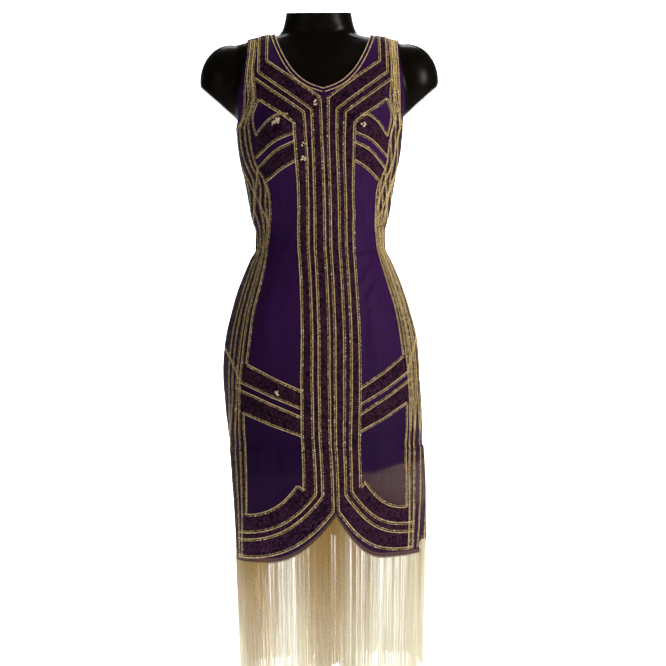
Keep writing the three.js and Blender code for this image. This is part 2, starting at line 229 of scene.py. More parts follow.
def run_lengths(points: Array) -> Array:
    """Length of a line up to each of its points."""
    return np.concatenate([[0], np.linalg.norm(np.diff(points, axis=0), axis=1).cumsum()])


def along_line(at: Array, lengths: Array, points: Array) -> Array:
    """Points of a line at lengths from its start, read between its own points and their lengths."""
    return np.stack([np.interp(at, lengths, column) for column in points.T], 1)


@dataclass(frozen=True)
class Figure:
    """The torso under the dress, as level rings with two shaped cups in front."""

    sections: LevelTable = SECTIONS
    cup_reach: float = 70
    cup_level: float = 948
    cup_width: float = 44
    cup_height: float = 46
    cup_rise: float = 15

    def point(self, angle: Array, level: Array) -> Array:
        """Points of the figure.

        Args:
            angle: Angles round from the front centre, a quarter turn being the +X side.
            level: Heights.

        Returns:
            Points with X, Y and Z in the last axis.
        """
        angle, level = np.broadcast_arrays(np.asarray(angle, float), np.asarray(level, float))
        x = self.sections.at("half_width", level) * np.sin(angle)
        ahead = np.cos(angle)
        up = ((level - self.cup_level) / self.cup_height) ** 2
        cups = sum(np.exp(-(((x - s * self.cup_reach) / self.cup_width) ** 2) - up) for s in (-1, 1))
        depth = np.where(ahead > 0, self.sections.at("front", level), self.sections.at("back", level))
        depth = depth + np.where(ahead > 0, self.cup_rise * cups, 0)
        return np.stack([x, self.sections.at("mid_y", level) - depth * ahead, level], -1)

    def normal(self, angle: Array, level: Array) -> Array:
        """Outward directions of the figure's surface.

        Args:
            angle: Angles round from the front centre.
            level: Heights.

        Returns:
            Unit vectors.
        """
        turn, step = 0.01, 0.25
        around = self.point(angle + turn, level) - self.point(angle - turn, level)
        upwards = self.point(angle, level + step) - self.point(angle, level - step)
        return unit(np.cross(around, upwards))


@dataclass(frozen=True)
class Fold:
    """A soft upright fold of the hanging skirt. Depth is outwards."""

    angle: float
    spread: float
    depth: float
    head: float
    foot: float = 225

    def rise(self, degrees: Array, level: Array) -> Array:
        """How far the fold moves the cloth outwards, at angles from -90 to 270 and at heights."""
        across = np.exp(-(((degrees - self.angle) / self.spread) ** 2))
        return self.depth * across * (1 - smooth(level, self.foot, self.head))


@dataclass(frozen=True)
class Crease:
    """A soft trough or ridge from one place on the cloth to another. Depth is outwards."""

    start_angle: float
    start_level: float
    end_angle: float
    end_level: float
    width: float
    depth: float
    per_degree: float = 2.3
    bow: float = 0.06
    ends: float = 0.02
    fade_power: float = 0.7
    end_blur: float = 300

    def rise(self, degrees: Array, level: Array) -> Array:
        """How far the crease moves the cloth outwards.

        Args:
            degrees: Angles round from the front centre, from -90 to 270.
            level: Heights.

        Returns:
            Distances, dying out along the crease and across it.
        """
        run = (self.end_angle - self.start_angle) * self.per_degree
        climb = self.end_level - self.start_level
        dx = (degrees - self.start_angle) * self.per_degree
        dz = level - self.start_level
        length = math.hypot(run, climb)
        along = np.clip((dx * run + dz * climb) / length**2, 0, 1)
        across = (dx * climb - dz * run) / length
        aside = across - self.bow * length * np.sin(along * math.pi)
        beyond = np.hypot(dx - along * run, dz - along * climb) ** 2 - across**2
        fade = np.sin(np.clip(along, self.ends, 1 - self.ends) * math.pi) ** self.fade_power
        fade = fade * np.exp(-np.maximum(beyond, 0) / self.end_blur)
        return self.depth * np.exp(-((aside / self.width) ** 2)) * fade


FOLDS = (
    Fold(-58, 11, 2.5, 500),
    Fold(-34, 10, -3.5, 470),
    Fold(24, 10, -2.5, 440),
    Fold(52, 11, 3.0, 500),
    Fold(128, 11, 3.0, 490),
    Fold(156, 10, -3.0, 460),
    Fold(192, 11, 3.0, 500),
    Fold(226, 10, -3.0, 470),
)

CREASES = (
    Crease(-44, 880, -24, 800, 7, 2.0),
    Crease(-54, 804, -18, 770, 6, 2.4),
    Crease(-47, 754, -19, 746, 4, 2.4),
    Crease(-48, 741, -22, 724, 4.5, 2.0),
    Crease(-36, 700, -28, 560, 9, 2.2),
    Crease(-24, 640, -20, 545, 7, -1.1),
    Crease(48, 856, 24, 786, 7, 2.3),
    Crease(57, 774, 29, 756, 4, 2.6),
    Crease(50, 741, 30, 733, 3.5, 2.0),
    Crease(53, 736, 27, 683, 4, 2.8),
    Crease(46, 712, 32, 560, 9, 2.4),
    Crease(30, 640, 33, 520, 7, -1.1),
    Crease(52, 708, 29, 652, 4, 2.6),
    Crease(50, 666, 42, 638, 3.5, 1.8),
    Crease(-44, 470, -40, 330, 9, 1.8),
    Crease(-29, 452, -31, 350, 7, -1.5),
    Crease(38, 460, 34, 345, 9, 1.7),
    Crease(55, 480, 58, 370, 8, -1.4),
    Crease(134, 800, 160, 766, 8, 1.4),
    Crease(130, 768, 158, 744, 7, -1.0),
    Crease(138, 726, 150, 610, 11, 1.3),
    Crease(226, 796, 202, 762, 8, 1.5),
    Crease(230, 760, 204, 738, 7, -1.0),
    Crease(222, 716, 212, 600, 12, 1.3),
    Crease(150, 900, 166, 830, 9, 1.0),
    Crease(212, 905, 196, 838, 9, 1.1),
    Crease(140, 470, 144, 330, 9, 1.8),
    Crease(214, 465, 208, 335, 9, -1.6),
    Crease(86, 690, 92, 560, 9, 1.0),
    Crease(-84, 700, -92, 570, 9, 1.0),
)


@dataclass(frozen=True)
class Drape:
    """The cloth hung on the figure, with its ease, sway, folds and creases."""

    figure: Figure = field(default_factory=Figure)
    hang: LevelTable = HANG
    folds: tuple[Fold, ...] = FOLDS
    creases: tuple[Crease, ...] = CREASES

    def point(self, angle: Array, level: Array, offset: float) -> Array:
        """Points of the cloth.

        Args:
            angle: Angles round from the front centre.
            level: Heights.
            offset: Distance outside the net's inner face.

        Returns:
            Points with X, Y and Z in the last axis.
        """
        angle, level = np.broadcast_arrays(np.asarray(angle, float), np.asarray(level, float))
        degrees = np.mod(np.degrees(angle) + 90, 360) - 90
        off = self.figure.sections.at("ease", level) + offset
        off = off + sum(fold.rise(degrees, level) for fold in self.folds)
        off = off + sum(crease.rise(degrees, level) for crease in self.creases)
        points = self.figure.point(angle, level) + self.figure.normal(angle, level) * off[..., None]
        points[..., 0] += self.hang.at("sway", level)
        return points

    def width(self, level: Array) -> Array:
        """Half the width of the hanging net at some levels."""
        sections = self.figure.sections
        return sections.at("half_width", level) + sections.at("ease", level) + NET_WALL


@dataclass(frozen=True)
class PanelCut:
    """One half of the dress: its hem, neck, shoulder and armhole edges, and places on it."""

    side: Side
    drape: Drape
    net: float = NET_WALL
    seam_gap: float = 0.3
    seam_turn: float = math.radians(89.7)
    seam_limit: float = math.radians(89.85)
    lining_hem: float = 385
    lining_top: float = 750
    lining_rise: float = 13
    lining_rise_reach: tuple[float, float] = (80, 142)
    chest: float = 940
    underarm: float = 961
    back_hem: float = 258
    scallop_low: float = 237
    notch_rise: float = 73
    notch_reach: float = 112
    hem_tilt: float = 0.04
    hem_half_width: float = 159
    neck_half_width: float = 81
    front_neck: float = 1017
    back_neck: float = 1078
    vee_share: float = 0.25
    strap_outer: float = 127
    strap_shift: float = 7
    strap_level: float = 1040
    underarm_reach: float = 141
    arm_fall: float = 1.5
    arm_sweep: float = 3.2
    edge_room: float = 2.6
    ridge_room: float = 0.5
    ridge_span: tuple[float, float] = (1090, 1158)
    halvings: int = 40
    neck_shares: tuple[float, ...] = (0, 0.32, 0.6, 0.81, 0.93, 0.985, 1)
    strap_columns: int = 2
    armhole_columns: int = 6
    finer: int = 4
    hem_rows: int = 16
    middle_rows: int = 140
    chest_rows: int = 28
    chest_crowding: float = 2.2
    lining_rows: int = 52
    edge_steps: int = 60

    @property
    def neck_columns(self) -> int:
        """Number of coarse columns from the centre to the strap."""
        return len(self.neck_shares) - 1

    @property
    def half_columns(self) -> int:
        """Number of coarse columns from the centre to the side seam."""
        return self.neck_columns + self.strap_columns + self.armhole_columns

    def facing(self, angle: Array) -> Array:
        """Angles of the front turned to the panel's own side."""
        return angle if self.side is Side.FRONT else math.pi - angle

    def ridge_level(self, x: Array) -> Array:
        """Level of the shoulder's ridge, found by halving.

        Args:
            x: Sideways reaches.

        Returns:
            The levels.
        """
        reach = np.abs(np.asarray(x, float))
        low, high = (np.full_like(reach, level) for level in self.ridge_span)
        for _ in range(self.halvings):
            middle = (low + high) / 2
            wide = self.drape.figure.sections.at("half_width", middle) > reach
            low, high = np.where(wide, middle, low), np.where(wide, high, middle)
        return (low + high) / 2

    def neck_level(self, share: Array, sideways: Array) -> Array:
        """Level of the neck edge.

        Args:
            share: Shares of the way from the middle of the neck to the strap.
            sideways: Which way, -1 or 1.

        Returns:
            Levels, a soft vee in front and a round scoop behind.
        """
        vee = self.vee_share if self.side is Side.FRONT else 0
        bottom = self.front_neck if self.side is Side.FRONT else self.back_neck
        curve = vee * share + (1 - vee) * share**3
        top = self.ridge_level(sideways * self.neck_half_width + self.strap_shift)
        return bottom + (top - bottom) * curve

    def top_end(self, column: Array) -> tuple[Array, Array]:
        """Sideways reach and level where columns end at the panel's upper edge.

        Args:
            column: Column numbers from the centre, negative towards -X.

        Returns:
            X and level of each column's top end.
        """
        sideways = np.where(column < 0, -1.0, 1.0)
        u = np.abs(column)
        necks = self.neck_columns
        share = np.interp(u, np.arange(necks + 1), self.neck_shares)
        neck_x = sideways * share * self.neck_half_width + self.strap_shift
        across = np.clip((u - necks) / self.strap_columns, 0, 1)
        strap_reach = self.neck_half_width + across * (self.strap_outer - self.neck_half_width)
        strap_x = sideways * strap_reach + self.strap_shift
        strap_level = self.ridge_level(strap_x)
        around = np.clip((u - necks - self.strap_columns) / self.armhole_columns, 0, 1)
        fall = smooth(around**self.arm_fall, 0, 1)
        arm_level = strap_level + (self.underarm - strap_level) * fall
        arm_x = strap_x + (sideways * self.underarm_reach - strap_x) * around**self.arm_sweep
        on_neck = u <= necks
        x = np.where(on_neck, neck_x, arm_x)
        return x, np.where(on_neck, self.neck_level(share, sideways), arm_level)

    def hem_level(self, turn: Array) -> Array:
        """Level of the hem: two scallops meeting in a notch in front, level behind.

        Args:
            turn: Turns round the body.

        Returns:
            The levels.
        """
        x = self.hem_half_width * np.sin(turn)
        if self.side is Side.BACK:
            return self.back_hem + self.hem_tilt * x
        near = np.maximum(0, 1 - np.abs(x) / self.notch_reach)
        return self.scallop_low + self.notch_rise * near**2 + self.hem_tilt * x

    def hanging_turn(self, turn: Array, level: Array) -> Array:
        """Angle on the figure of a turn round the body, with the cloth's own twist.

        Args:
            turn: Turns from the panel's centre.
            level: Heights.

        Returns:
            Angles round from the front centre.
        """
        hang = self.drape.hang
        seam = np.where(turn > 0, np.radians(hang.at("seam_turn", level)) * turn / RIGHT_ANGLE, 0)
        if self.side is Side.BACK:
            return math.pi - turn - seam
        return turn - seam + np.radians(hang.at("front_turn", level)) * np.cos(turn)

    def column_angle(self, turn: Array, top_x: Array, top_level: Array, level: Array) -> Array:
        """Angle on the figure of columns at levels.

        Args:
            turn: Turn of each column round the body.
            top_x: Sideways reach of its top end.
            top_level: Level of its top end.
            level: Levels by row and column.

        Returns:
            Angles that go from the turn to the top end above the chest.
        """
        angle = self.hanging_turn(turn, level)
        half = self.drape.figure.sections.at("half_width", level)
        step = smooth(level, self.chest, top_level)
        x = half * np.sin(angle) * (1 - step) + top_x * step
        above = self.facing(np.arcsin(np.clip(x / half, -1, 1)))
        return np.where(level <= self.chest, angle, above)

    def columns(self) -> tuple[Array, Array, Array]:
        """The fine columns from -X to +X.

        Returns:
            Turn, top X and top level of each column.
        """
        count = self.half_columns * self.finer
        column = np.linspace(-self.half_columns, self.half_columns, 2 * count + 1)
        turn = column * RIGHT_ANGLE / self.half_columns
        top_x, top_level = self.top_end(column)
        return turn, top_x, top_level

    def net_levels(self, turn: Array, top_level: Array) -> Array:
        """Levels of the net's rows.

        Args:
            turn: Turn of each column.
            top_level: Level of its top end.

        Returns:
            Levels by row and column, the hem first.
        """
        foot = self.hem_level(turn)
        shares = np.arange(self.hem_rows) / self.hem_rows
        hem = [foot + (self.lining_hem - foot) * share for share in shares]
        straight = np.linspace(self.lining_hem, self.chest, self.middle_rows)
        middle = [np.full_like(foot, level) for level in straight]
        left = (1 - np.linspace(0, 1, self.chest_rows + 1)[1:]) ** self.chest_crowding
        chest = [top_level - (top_level - self.chest) * share for share in left]
        return np.array(hem + middle + chest)

    def lining_levels(self, turn: Array) -> Array:
        """Levels of the lining's rows.

        Args:
            turn: Turn of each column.

        Returns:
            Levels by row and column.
        """
        foot = self.lining_hem + self.lining_lift(self.hem_half_width * np.sin(turn))
        shares = np.linspace(0, 1, self.lining_rows)
        return np.array([foot + (self.lining_top - foot) * share for share in shares])

    def lining_lift(self, x: Array) -> Array:
        """How far the lining's hem rises on the wearer's left."""
        return self.lining_rise * smooth(x, *self.lining_rise_reach)

    def on_cloth(self, angle: Array, level: Array, offset: float) -> Array:
        """Points of the panel, half the seam's gap away from the other half.

        Args:
            angle: Angles on the figure.
            level: Heights.
            offset: Distance outside the net's inner face.

        Returns:
            Points in space.
        """
        points = self.drape.point(angle, level, offset)
        points[..., 1] += self.side.value * self.seam_gap / 2
        return points

    def grid(self, levels: Array, offset: float) -> Array:
        """Points of the panel by row and column, from the rows' levels and the distance outside."""
        turn, top_x, top_level = self.columns()
        return self.on_cloth(self.column_angle(turn, top_x, top_level, levels), levels, offset)

    def angle_at(self, reach: Array, level: Array) -> Array:
        """Angle on the figure of places given by their reach from the panel's centre line.

        Args:
            reach: Sideways distances from the centre line as seen from the panel's own side.
            level: Heights.

        Returns:
            Angles round from the front centre.
        """
        width = self.drape.width(level)
        low = self.hanging_turn(np.arcsin(np.clip(reach / width, -1, 1)), level)
        high = self.facing(np.arcsin(np.clip((reach + self.strap_shift) / width, -1, 1)))
        share = smooth(level, self.chest, self.strap_level)
        return low * (1 - share) + high * share

    def side_reach(self, level: Array, sign: int) -> Array:
        """Reach of one armhole's edge above the underarm, and of the side seam below it.

        Args:
            level: Heights.
            sign: Which half, -1 or 1.

        Returns:
            Distances from the centre line.
        """
        inner = self.neck_columns + self.strap_columns
        edge_x, edge_level = self.top_end(sign * np.linspace(self.half_columns, inner, self.edge_steps))
        shift = sign * self.strap_shift * smooth(level, self.chest, self.strap_level)
        armhole = np.interp(level, edge_level, np.abs(edge_x)) - shift - self.edge_room
        seam = self.drape.width(level) * math.sin(self.seam_turn)
        return np.where(level > self.underarm, armhole, seam)

    def place(self, path: Array, offset: float) -> Array:
        """Points on the panel's outside, from reach and level and the distance off the net."""
        reach, level = path.T
        return self.on_cloth(self.angle_at(reach, level), level, self.net + offset)

    def inside(self, path: Array, margin: float) -> Array:
        """Which places lie on the panel, clear of its edges.

        Args:
            path: Reach and level of each place.
            margin: Least distance from an edge.

        Returns:
            A mask.
        """
        reach, level = path.T
        sideways = np.where(reach < 0, -1.0, 1.0)
        share = np.abs(reach) / self.neck_half_width
        under_neck = (share >= 1) | (level < self.neck_level(np.minimum(share, 1), sideways) - margin)
        within = level <= self.underarm
        for sign in (-1, 1):
            edge = self.side_reach(level, sign) + self.edge_room - margin
            within |= (sideways == sign) & (np.abs(reach) < edge)
        turn = np.arcsin(np.clip(reach / self.drape.width(level), -1, 1))
        over_hem = level > self.hem_level(turn) + margin
        ridge = self.ridge_level(reach + self.strap_shift)
        on_side = (np.abs(turn) < self.seam_limit) & (level < ridge - self.ridge_room)
        return under_neck & within & over_hem & on_side


def new_object(name: str, mesh: Mesh) -> Object:
    """Object at the origin with its place in its mesh, linked to the scene.

    Args:
        name: Name of the object.
        mesh: Its mesh.

    Returns:
        The object.
    """
    piece = bpy.data.objects.new(name, mesh)
    bpy.context.scene.collection.objects.link(piece)
    return piece


def soften(mesh: Mesh, sharp_from: float) -> None:
    """Shades a mesh smooth, with sharp edges from an angle in degrees."""
    mesh.polygons.foreach_set("use_smooth", np.ones(len(mesh.polygons), bool))
    mesh.set_sharp_from_angle(angle=math.radians(sharp_from))


def declare(piece: Object, node: str = "") -> None:
    """Says which body a piece rides on and the solid it replaces.

    Args:
        piece: The piece.
        node: The solid, if there is one.
    """
    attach(piece, BODY)
    if node:
        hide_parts(node)


def wall(name: str, outer: Array, inner: Array, flip: bool, material: Material) -> Object:
    """Closed wall between two grids of points.

    Args:
        name: Name of the piece.
        outer: Outside points by row and column, in millimetres.
        inner: Inside points, as many.
        flip: Whether the columns run the other way round as seen from outside.
        material: What the wall is made of.

    Returns:
        The piece, with a weave map in metres.
    """
    rows, columns = outer.shape[:2]
    number = np.arange(rows * columns).reshape(rows, columns)
    back = number + rows * columns
    parts = (
        (number[:-1, :-1], number[:-1, 1:], number[1:, 1:], number[1:, :-1]),
        (back[:-1, :-1], back[1:, :-1], back[1:, 1:], back[:-1, 1:]),
        (number[0, :-1], back[0, :-1], back[0, 1:], number[0, 1:]),
        (number[-1, :-1], number[-1, 1:], back[-1, 1:], back[-1, :-1]),
        (number[:-1, 0], number[1:, 0], back[1:, 0], back[:-1, 0]),
        (number[:-1, -1], back[:-1, -1], back[1:, -1], number[1:, -1]),
    )
    quads = np.concatenate([np.stack([side.ravel() for side in part], 1) for part in parts])
    if flip:
        quads = quads[:, ::-1]
    points = np.concatenate([outer.reshape(-1, 3), inner.reshape(-1, 3)]) * MM
    mesh = bpy.data.meshes.new(name)
    mesh.from_pydata(points.tolist(), [], quads.tolist())
    soften(mesh, WALL_SHARP_FROM)
    across = np.linalg.norm(np.diff(outer, axis=1), axis=2).cumsum(axis=1)
    across = np.concatenate([np.zeros((rows, 1)), across], axis=1)
    across -= across[:, columns // 2][:, None]
    flat = np.stack([across.ravel(), outer[..., 2].ravel()], 1) * MM
    both = np.concatenate([flat, flat])
    weave = mesh.uv_layers.new(name="weave")
    weave.data.foreach_set("uv", both[quads.ravel()].astype(np.float32).ravel())
    mesh.update()
    mesh.materials.append(material)
    return new_object(name, mesh)


def point_mesh(name: str, points: Array, **attributes: Array) -> Mesh:
    """Loose points that carry values, for instances.

    Args:
        name: Name of the mesh.
        points: Places in millimetres.
        attributes: A number or a vector for each point, by attribute name.

    Returns:
        The mesh.
    """
    mesh = bpy.data.meshes.new(name)
    mesh.from_pydata((points * MM).tolist(), [], [])
    for key, values in attributes.items():
        vector = values.ndim == 2
        layer = mesh.attributes.new(key, "FLOAT_VECTOR" if vector else "FLOAT", "POINT")
        layer.data.foreach_set("vector" if vector else "value", values.astype(np.float32).ravel())
    return mesh


class Graph:
    """Adds nodes to a tree and links them."""

    def __init__(self, tree: NodeTree) -> None:
        """Keeps the tree that is built."""
        self.tree = tree

    def feed(self, socket: NodeSocket, value: Any) -> None:
        """Links a socket to another one, or sets its constant.

        Args:
            socket: The input.
            value: An output or a constant.
        """
        if isinstance(value, NodeSocket):
            self.tree.links.new(value, socket)
        else:
            socket.default_value = value

    def add(self, kind: str, inputs: dict[Any, Any] | None = None, **settings: Any) -> Node:
        """A new node.

        Args:
            kind: Blender's name of the node type.
            inputs: Values or sockets for its inputs, by name or number.
            settings: The node's own settings.

        Returns:
            The node.
        """
        node = self.tree.nodes.new(kind)
        for key, value in settings.items():
            setattr(node, key, value)
        for key, value in (inputs or {}).items():
            self.feed(node.inputs[key], value)
        return node

    def math(self, operation: str, first: Any, second: Any = 0.5) -> NodeSocket:
        """Result of a sum on two numbers or sockets."""
        return self.add("ShaderNodeMath", {0: first, 1: second}, operation=operation).outputs[0]

    def vector(self, operation: str, first: Any, second: Any) -> NodeSocket:
        """Result of a sum on two vectors, or on a vector and its scale."""
        key = "Scale" if operation == "SCALE" else 1
        return self.add("ShaderNodeVectorMath", {0: first, key: second}, operation=operation).outputs[0]

    def swing(self, value: Any, amount: Any) -> NodeSocket:
        """A value from 0 to 1 as a step up or down from its middle, times an amount."""
        return self.math("MULTIPLY", self.math("SUBTRACT", value, 0.5), amount)

    def shifted(self, value: Any, amount: float, base: float) -> NodeSocket:
        """A value times an amount, on top of a base."""
        return self.math("ADD", self.math("MULTIPLY", value, amount), base)

    def mix(self, share: Any, first: Any, second: Any) -> NodeSocket:
        """Colour between two colours."""
        return self.add("ShaderNodeMix", {0: share, 6: first, 7: second}, data_type="RGBA").outputs[2]

    def noise(self, plan: Any, scale: Any, detail: float) -> NodeSocket:
        """Soft noise from 0 to 1 on a plan."""
        inputs = {"Vector": plan, "Scale": scale, "Detail": detail}
        return self.add("ShaderNodeTexNoise", inputs).outputs[0]

    def object_plan(self) -> NodeSocket:
        """Places in the object's own space."""
        return self.add("ShaderNodeTexCoord").outputs["Object"]

    def part(self, vector: Any, axis: int) -> NodeSocket:
        """One coordinate of a vector."""
        return self.add("ShaderNodeSeparateXYZ", {0: vector}).outputs[axis]


class ShaderGroup(Graph):
    """A shader node group with named sockets."""

    def __init__(self, name: str, inputs: dict[str, float], outputs: Sequence[str]) -> None:
        """Makes the empty group.

        Args:
            name: Name of the group.
            inputs: Names and starting values of its inputs.
            outputs: Names of its outputs.
        """
        super().__init__(bpy.data.node_groups.new(name, "ShaderNodeTree"))
        face = self.tree.interface
        for key, value in inputs.items():
            socket = face.new_socket(key, in_out="INPUT", socket_type="NodeSocketFloat")
            socket.default_value = value
        for key in outputs:
            face.new_socket(key, in_out="OUTPUT", socket_type="NodeSocketFloat")
        self.given = self.add("NodeGroupInput").outputs
        self.made = self.add("NodeGroupOutput").inputs


class Effects:
    """Shared surface effects, each a node group built once."""

    def __init__(self) -> None:
        """Builds the groups."""
        self.weave = self._weave()
        self.cloud = self._cloud()

    def _weave(self) -> NodeTree:
        """Crossing threads on the weave map, as a height, with slubs along them as a tone.

        Returns:
            The group.
        """
        group = ShaderGroup("thread_weave", {"Threads": 900.0, "Slub": 0.5}, ("Height", "Tone", "Streak"))
        plan = group.add("ShaderNodeUVMap", uv_map="weave").outputs[0]
        scaled = group.vector("SCALE", plan, group.given["Threads"])
        threads = [group.math("ABSOLUTE", group.math("SINE", group.part(scaled, i))) for i in (0, 1)]
        group.feed(group.made["Height"], group.math("MAXIMUM", *threads))
        slub = self._stretched(group, plan, (140.0, 24.0, 1.0), 3.0)
        lift = group.swing(slub, group.given["Slub"])
        group.feed(group.made["Tone"], group.math("ADD", lift, 0.5))
        group.feed(group.made["Streak"], self._stretched(group, plan, (330.0, 2.0, 1.0), 2.0))
        return group.tree

    def _stretched(self, group: Graph, plan: Any, scale: Sequence[float], detail: float) -> Any:
        """Noise drawn out along the threads."""
        drawn = group.add("ShaderNodeMapping", {"Vector": plan, "Scale": scale}).outputs[0]
        return group.noise(drawn, 1.0, detail)

    def _cloud(self) -> NodeTree:
        """Soft uneven patches in object space, as a tone and a roughness shift.

        Returns:
            The group.
        """
        group = ShaderGroup("soft_patches", {"Size": 9.0, "Amount": 0.3}, ("Tone", "Shift"))
        broad = group.noise(group.object_plan(), group.given["Size"], 4.0)
        lift = group.swing(broad, group.given["Amount"])
        group.feed(group.made["Tone"], group.math("ADD", lift, 0.5))
        group.feed(group.made["Shift"], lift)
        return group.tree


EFFECTS = Effects()
Colour = tuple[float, float, float, float]


@dataclass(frozen=True)
class Finish:
    """A plain finish that the others build on."""

    name: str
    dark: Colour
    light: Colour
    roughness: float = 0.5
    metallic: float = 0.0
    specular: float = 0.5
    patch_size: float = 12.0
    patch_tone: float = 0.6
    patch_rough: float = 0.4

    def start(self) -> tuple[Material, Graph, Any]:
        """A new material with its shader's plain numbers set.

        Returns:
            The material, its graph and its shader's inputs.
        """
        material = bpy.data.materials.new(self.name)
        material.use_nodes = True
        shader = material.node_tree.nodes["Principled BSDF"].inputs
        shader["Roughness"].default_value = self.roughness
        shader["Metallic"].default_value = self.metallic
        shader["Specular IOR Level"].default_value = self.specular
        material.diffuse_color = self.light
        return material, Graph(material.node_tree), shader

    def group(self, graph: Graph, tree: NodeTree, **inputs: float) -> Any:
        """Outputs of a shared effect that is placed in a material with its own values."""
        return graph.add("ShaderNodeGroup", inputs, node_tree=tree).outputs

    def material(self) -> Material:
        """Makes the finish, with soft patches in colour and roughness.

        Returns:
            The material.
        """
        material, graph, shader = self.start()
        cloud = self.group(graph, EFFECTS.cloud, Size=self.patch_size, Amount=self.patch_tone)
        graph.feed(shader["Base Color"], graph.mix(cloud["Tone"], self.dark, self.light))
        graph.feed(shader["Roughness"], graph.shifted(cloud["Shift"], self.patch_rough, self.roughness))
        return material


@dataclass(frozen=True)
class ClothFinish(Finish):
    """Satin or net cloth with threads, and sheer where its own attribute says so."""

    patch_size: float = 16.0
    patch_tone: float = 0.7
    patch_rough: float = 0.5
    threads: float = 4200.0
    slub: float = 0.7
    bump: float = 0.12
    bump_height: float = 0.0004
    sheer: bool = False
    sheer_streak: float = 1.5
    bare: Colour = (0.31, 0.195, 0.125, 1)
    # Painted shade: the light tone is cut to low_share below low_from, rising to full at low_to.
    low_share: float = 1.0
    low_from: float = 0.43
    low_to: float = 0.66

    def deeper(self, graph: Graph) -> NodeSocket:
        """Share of the light tone that is left towards the hem, a painted shade that darkens the lower
        cloth.

        Args:
            graph: The material's graph.

        Returns:
            The share's socket.
        """
        level = graph.part(graph.object_plan(), 2)
        reach = {0: level, 1: self.low_from, 2: self.low_to, 3: self.low_share, 4: 1.0}
        return graph.add("ShaderNodeMapRange", reach).outputs[0]

    def material(self) -> Material:
        """Makes the cloth's finish.

        Returns:
            The material.
        """
        material, graph, shader = self.start()
        weave = self.group(graph, EFFECTS.weave, Threads=self.threads, Slub=self.slub)
        cloud = self.group(graph, EFFECTS.cloud, Size=self.patch_size, Amount=self.patch_tone)
        tone = graph.math("MULTIPLY", graph.math("ADD", weave["Tone"], cloud["Tone"]), 0.5)
        # Painted shade, darker towards the hem.
        if self.low_share < 1:
            tone = graph.math("MULTIPLY", tone, self.deeper(graph))
        colour = graph.mix(tone, self.dark, self.light)
        if self.sheer:
            cover = graph.add("ShaderNodeAttribute", attribute_name="cover").outputs["Fac"]
            colour = graph.mix(cover, self.bare, colour)
            streak = graph.swing(weave["Streak"], self.sheer_streak)
            thin = graph.math("MULTIPLY", streak, graph.math("SUBTRACT", 1.0, cover))
            graph.feed(shader["Alpha"], graph.math("ADD", cover, thin))
        graph.feed(shader["Base Color"], colour)
        relief = {"Strength": self.bump, "Distance": self.bump_height, "Height": weave["Height"]}
        graph.feed(shader["Normal"], graph.add("ShaderNodeBump", relief).outputs[0])
        graph.feed(shader["Roughness"], graph.shifted(cloud["Shift"], self.patch_rough, self.roughness))
        return material


@dataclass(frozen=True)
class TrimFinish(Finish):
    """Beads, sequins or thread whose tone differs from one to the next."""

    # Pale colour given to a few trims as a painted highlight.
    glint: Colour = (1.0, 0.9, 0.7, 1.0)
    glint_from: float = 2.0
    grain: float = 900.0
    grain_tone: float = 0.9
    grain_rough: float = 0.3
    fade: float = 0.0
    fade_top: float = 1.0

    def paler(self, graph: Graph, plan: Any) -> NodeSocket:
        """How much paler the trim gets towards the floor, from nothing at the fade's top: a painted shade
        that keeps it darker under the hem.
        """
        drop = graph.math("SUBTRACT", self.fade_top, graph.part(plan, 2))
        return graph.math("MULTIPLY", drop, self.fade / self.fade_top)

    def material(self) -> Material:
        """Makes the trim's finish.

        Returns:
            The material.
        """
        material, graph, shader = self.start()
        tone = graph.add("ShaderNodeAttribute", attribute_name="tone").outputs["Fac"]
        plan = graph.object_plan()
        grain = graph.noise(plan, self.grain, 2.0)
        share = graph.math("ADD", tone, graph.swing(grain, self.grain_tone))
        # Painted shade under the hem: the trim grows paler lower down.
        if self.fade:
            share = graph.math("ADD", share, self.paler(graph, plan))
        share = graph.add("ShaderNodeClamp", {0: share}).outputs[0]
        # Painted highlight: trims whose tone passes glint_from take the pale glint colour.
        painted_highlight = graph.math("GREATER_THAN", tone, self.glint_from)
        base = graph.mix(share, self.dark, self.light)
        graph.feed(shader["Base Color"], graph.mix(painted_highlight, base, self.glint))
        smoothest = self.roughness - self.grain_rough / 2
        graph.feed(shader["Roughness"], graph.shifted(grain, self.grain_rough, smoothest))
        return material


NET = ClothFinish(
    "violet_net",
    (0.012, 0.0032, 0.026, 1),
    (0.058, 0.0130, 0.104, 1),
    roughness=0.5,
    specular=0.04,
    threads=5200.0,
    bump=0.10,
    sheer=True,
    # a painted shade darkens the lower net
    low_share=0.35,
)
LINING = ClothFinish(
    "violet_satin",
    (0.010, 0.0026, 0.026, 1),
    (0.042, 0.0085, 0.090, 1),
    roughness=0.4,
    specular=0.04,
    bump=0.06,
)
TAPE = ClothFinish(
    "mauve_tape",
    (0.050, 0.025, 0.030, 1),
    (0.150, 0.085, 0.075, 1),
    roughness=0.6,
    specular=0.1,
    threads=3000.0,
)
GOLD_BEAD = TrimFinish(
    "gold_bead",
    (0.190, 0.122, 0.038, 1),
    (1.000, 0.775, 0.360, 1),
    roughness=0.36,
    specular=0.4,
    glint=(1.0, 0.92, 0.70, 1),
    glint_from=0.97,
)
PLUM_SEQUIN = TrimFinish(
    "plum_sequin",
    (0.0025, 0.0008, 0.0020, 1),
    (0.068, 0.0225, 0.053, 1),
    roughness=0.35,
    specular=0.035,
    glint=(0.90, 0.76, 0.55, 1),
    glint_from=0.994,
    grain=260.0,
)
FRINGE_THREAD = TrimFinish(
    "gold_fringe_thread",
    (0.560, 0.360, 0.108, 1),
    (1.000, 0.955, 0.775, 1),
    roughness=0.55,
    specular=0.1,
    grain=420.0,
    # Painted shade near the hem, paler towards the floor.
    fade=0.75,
    fade_top=0.26,
)
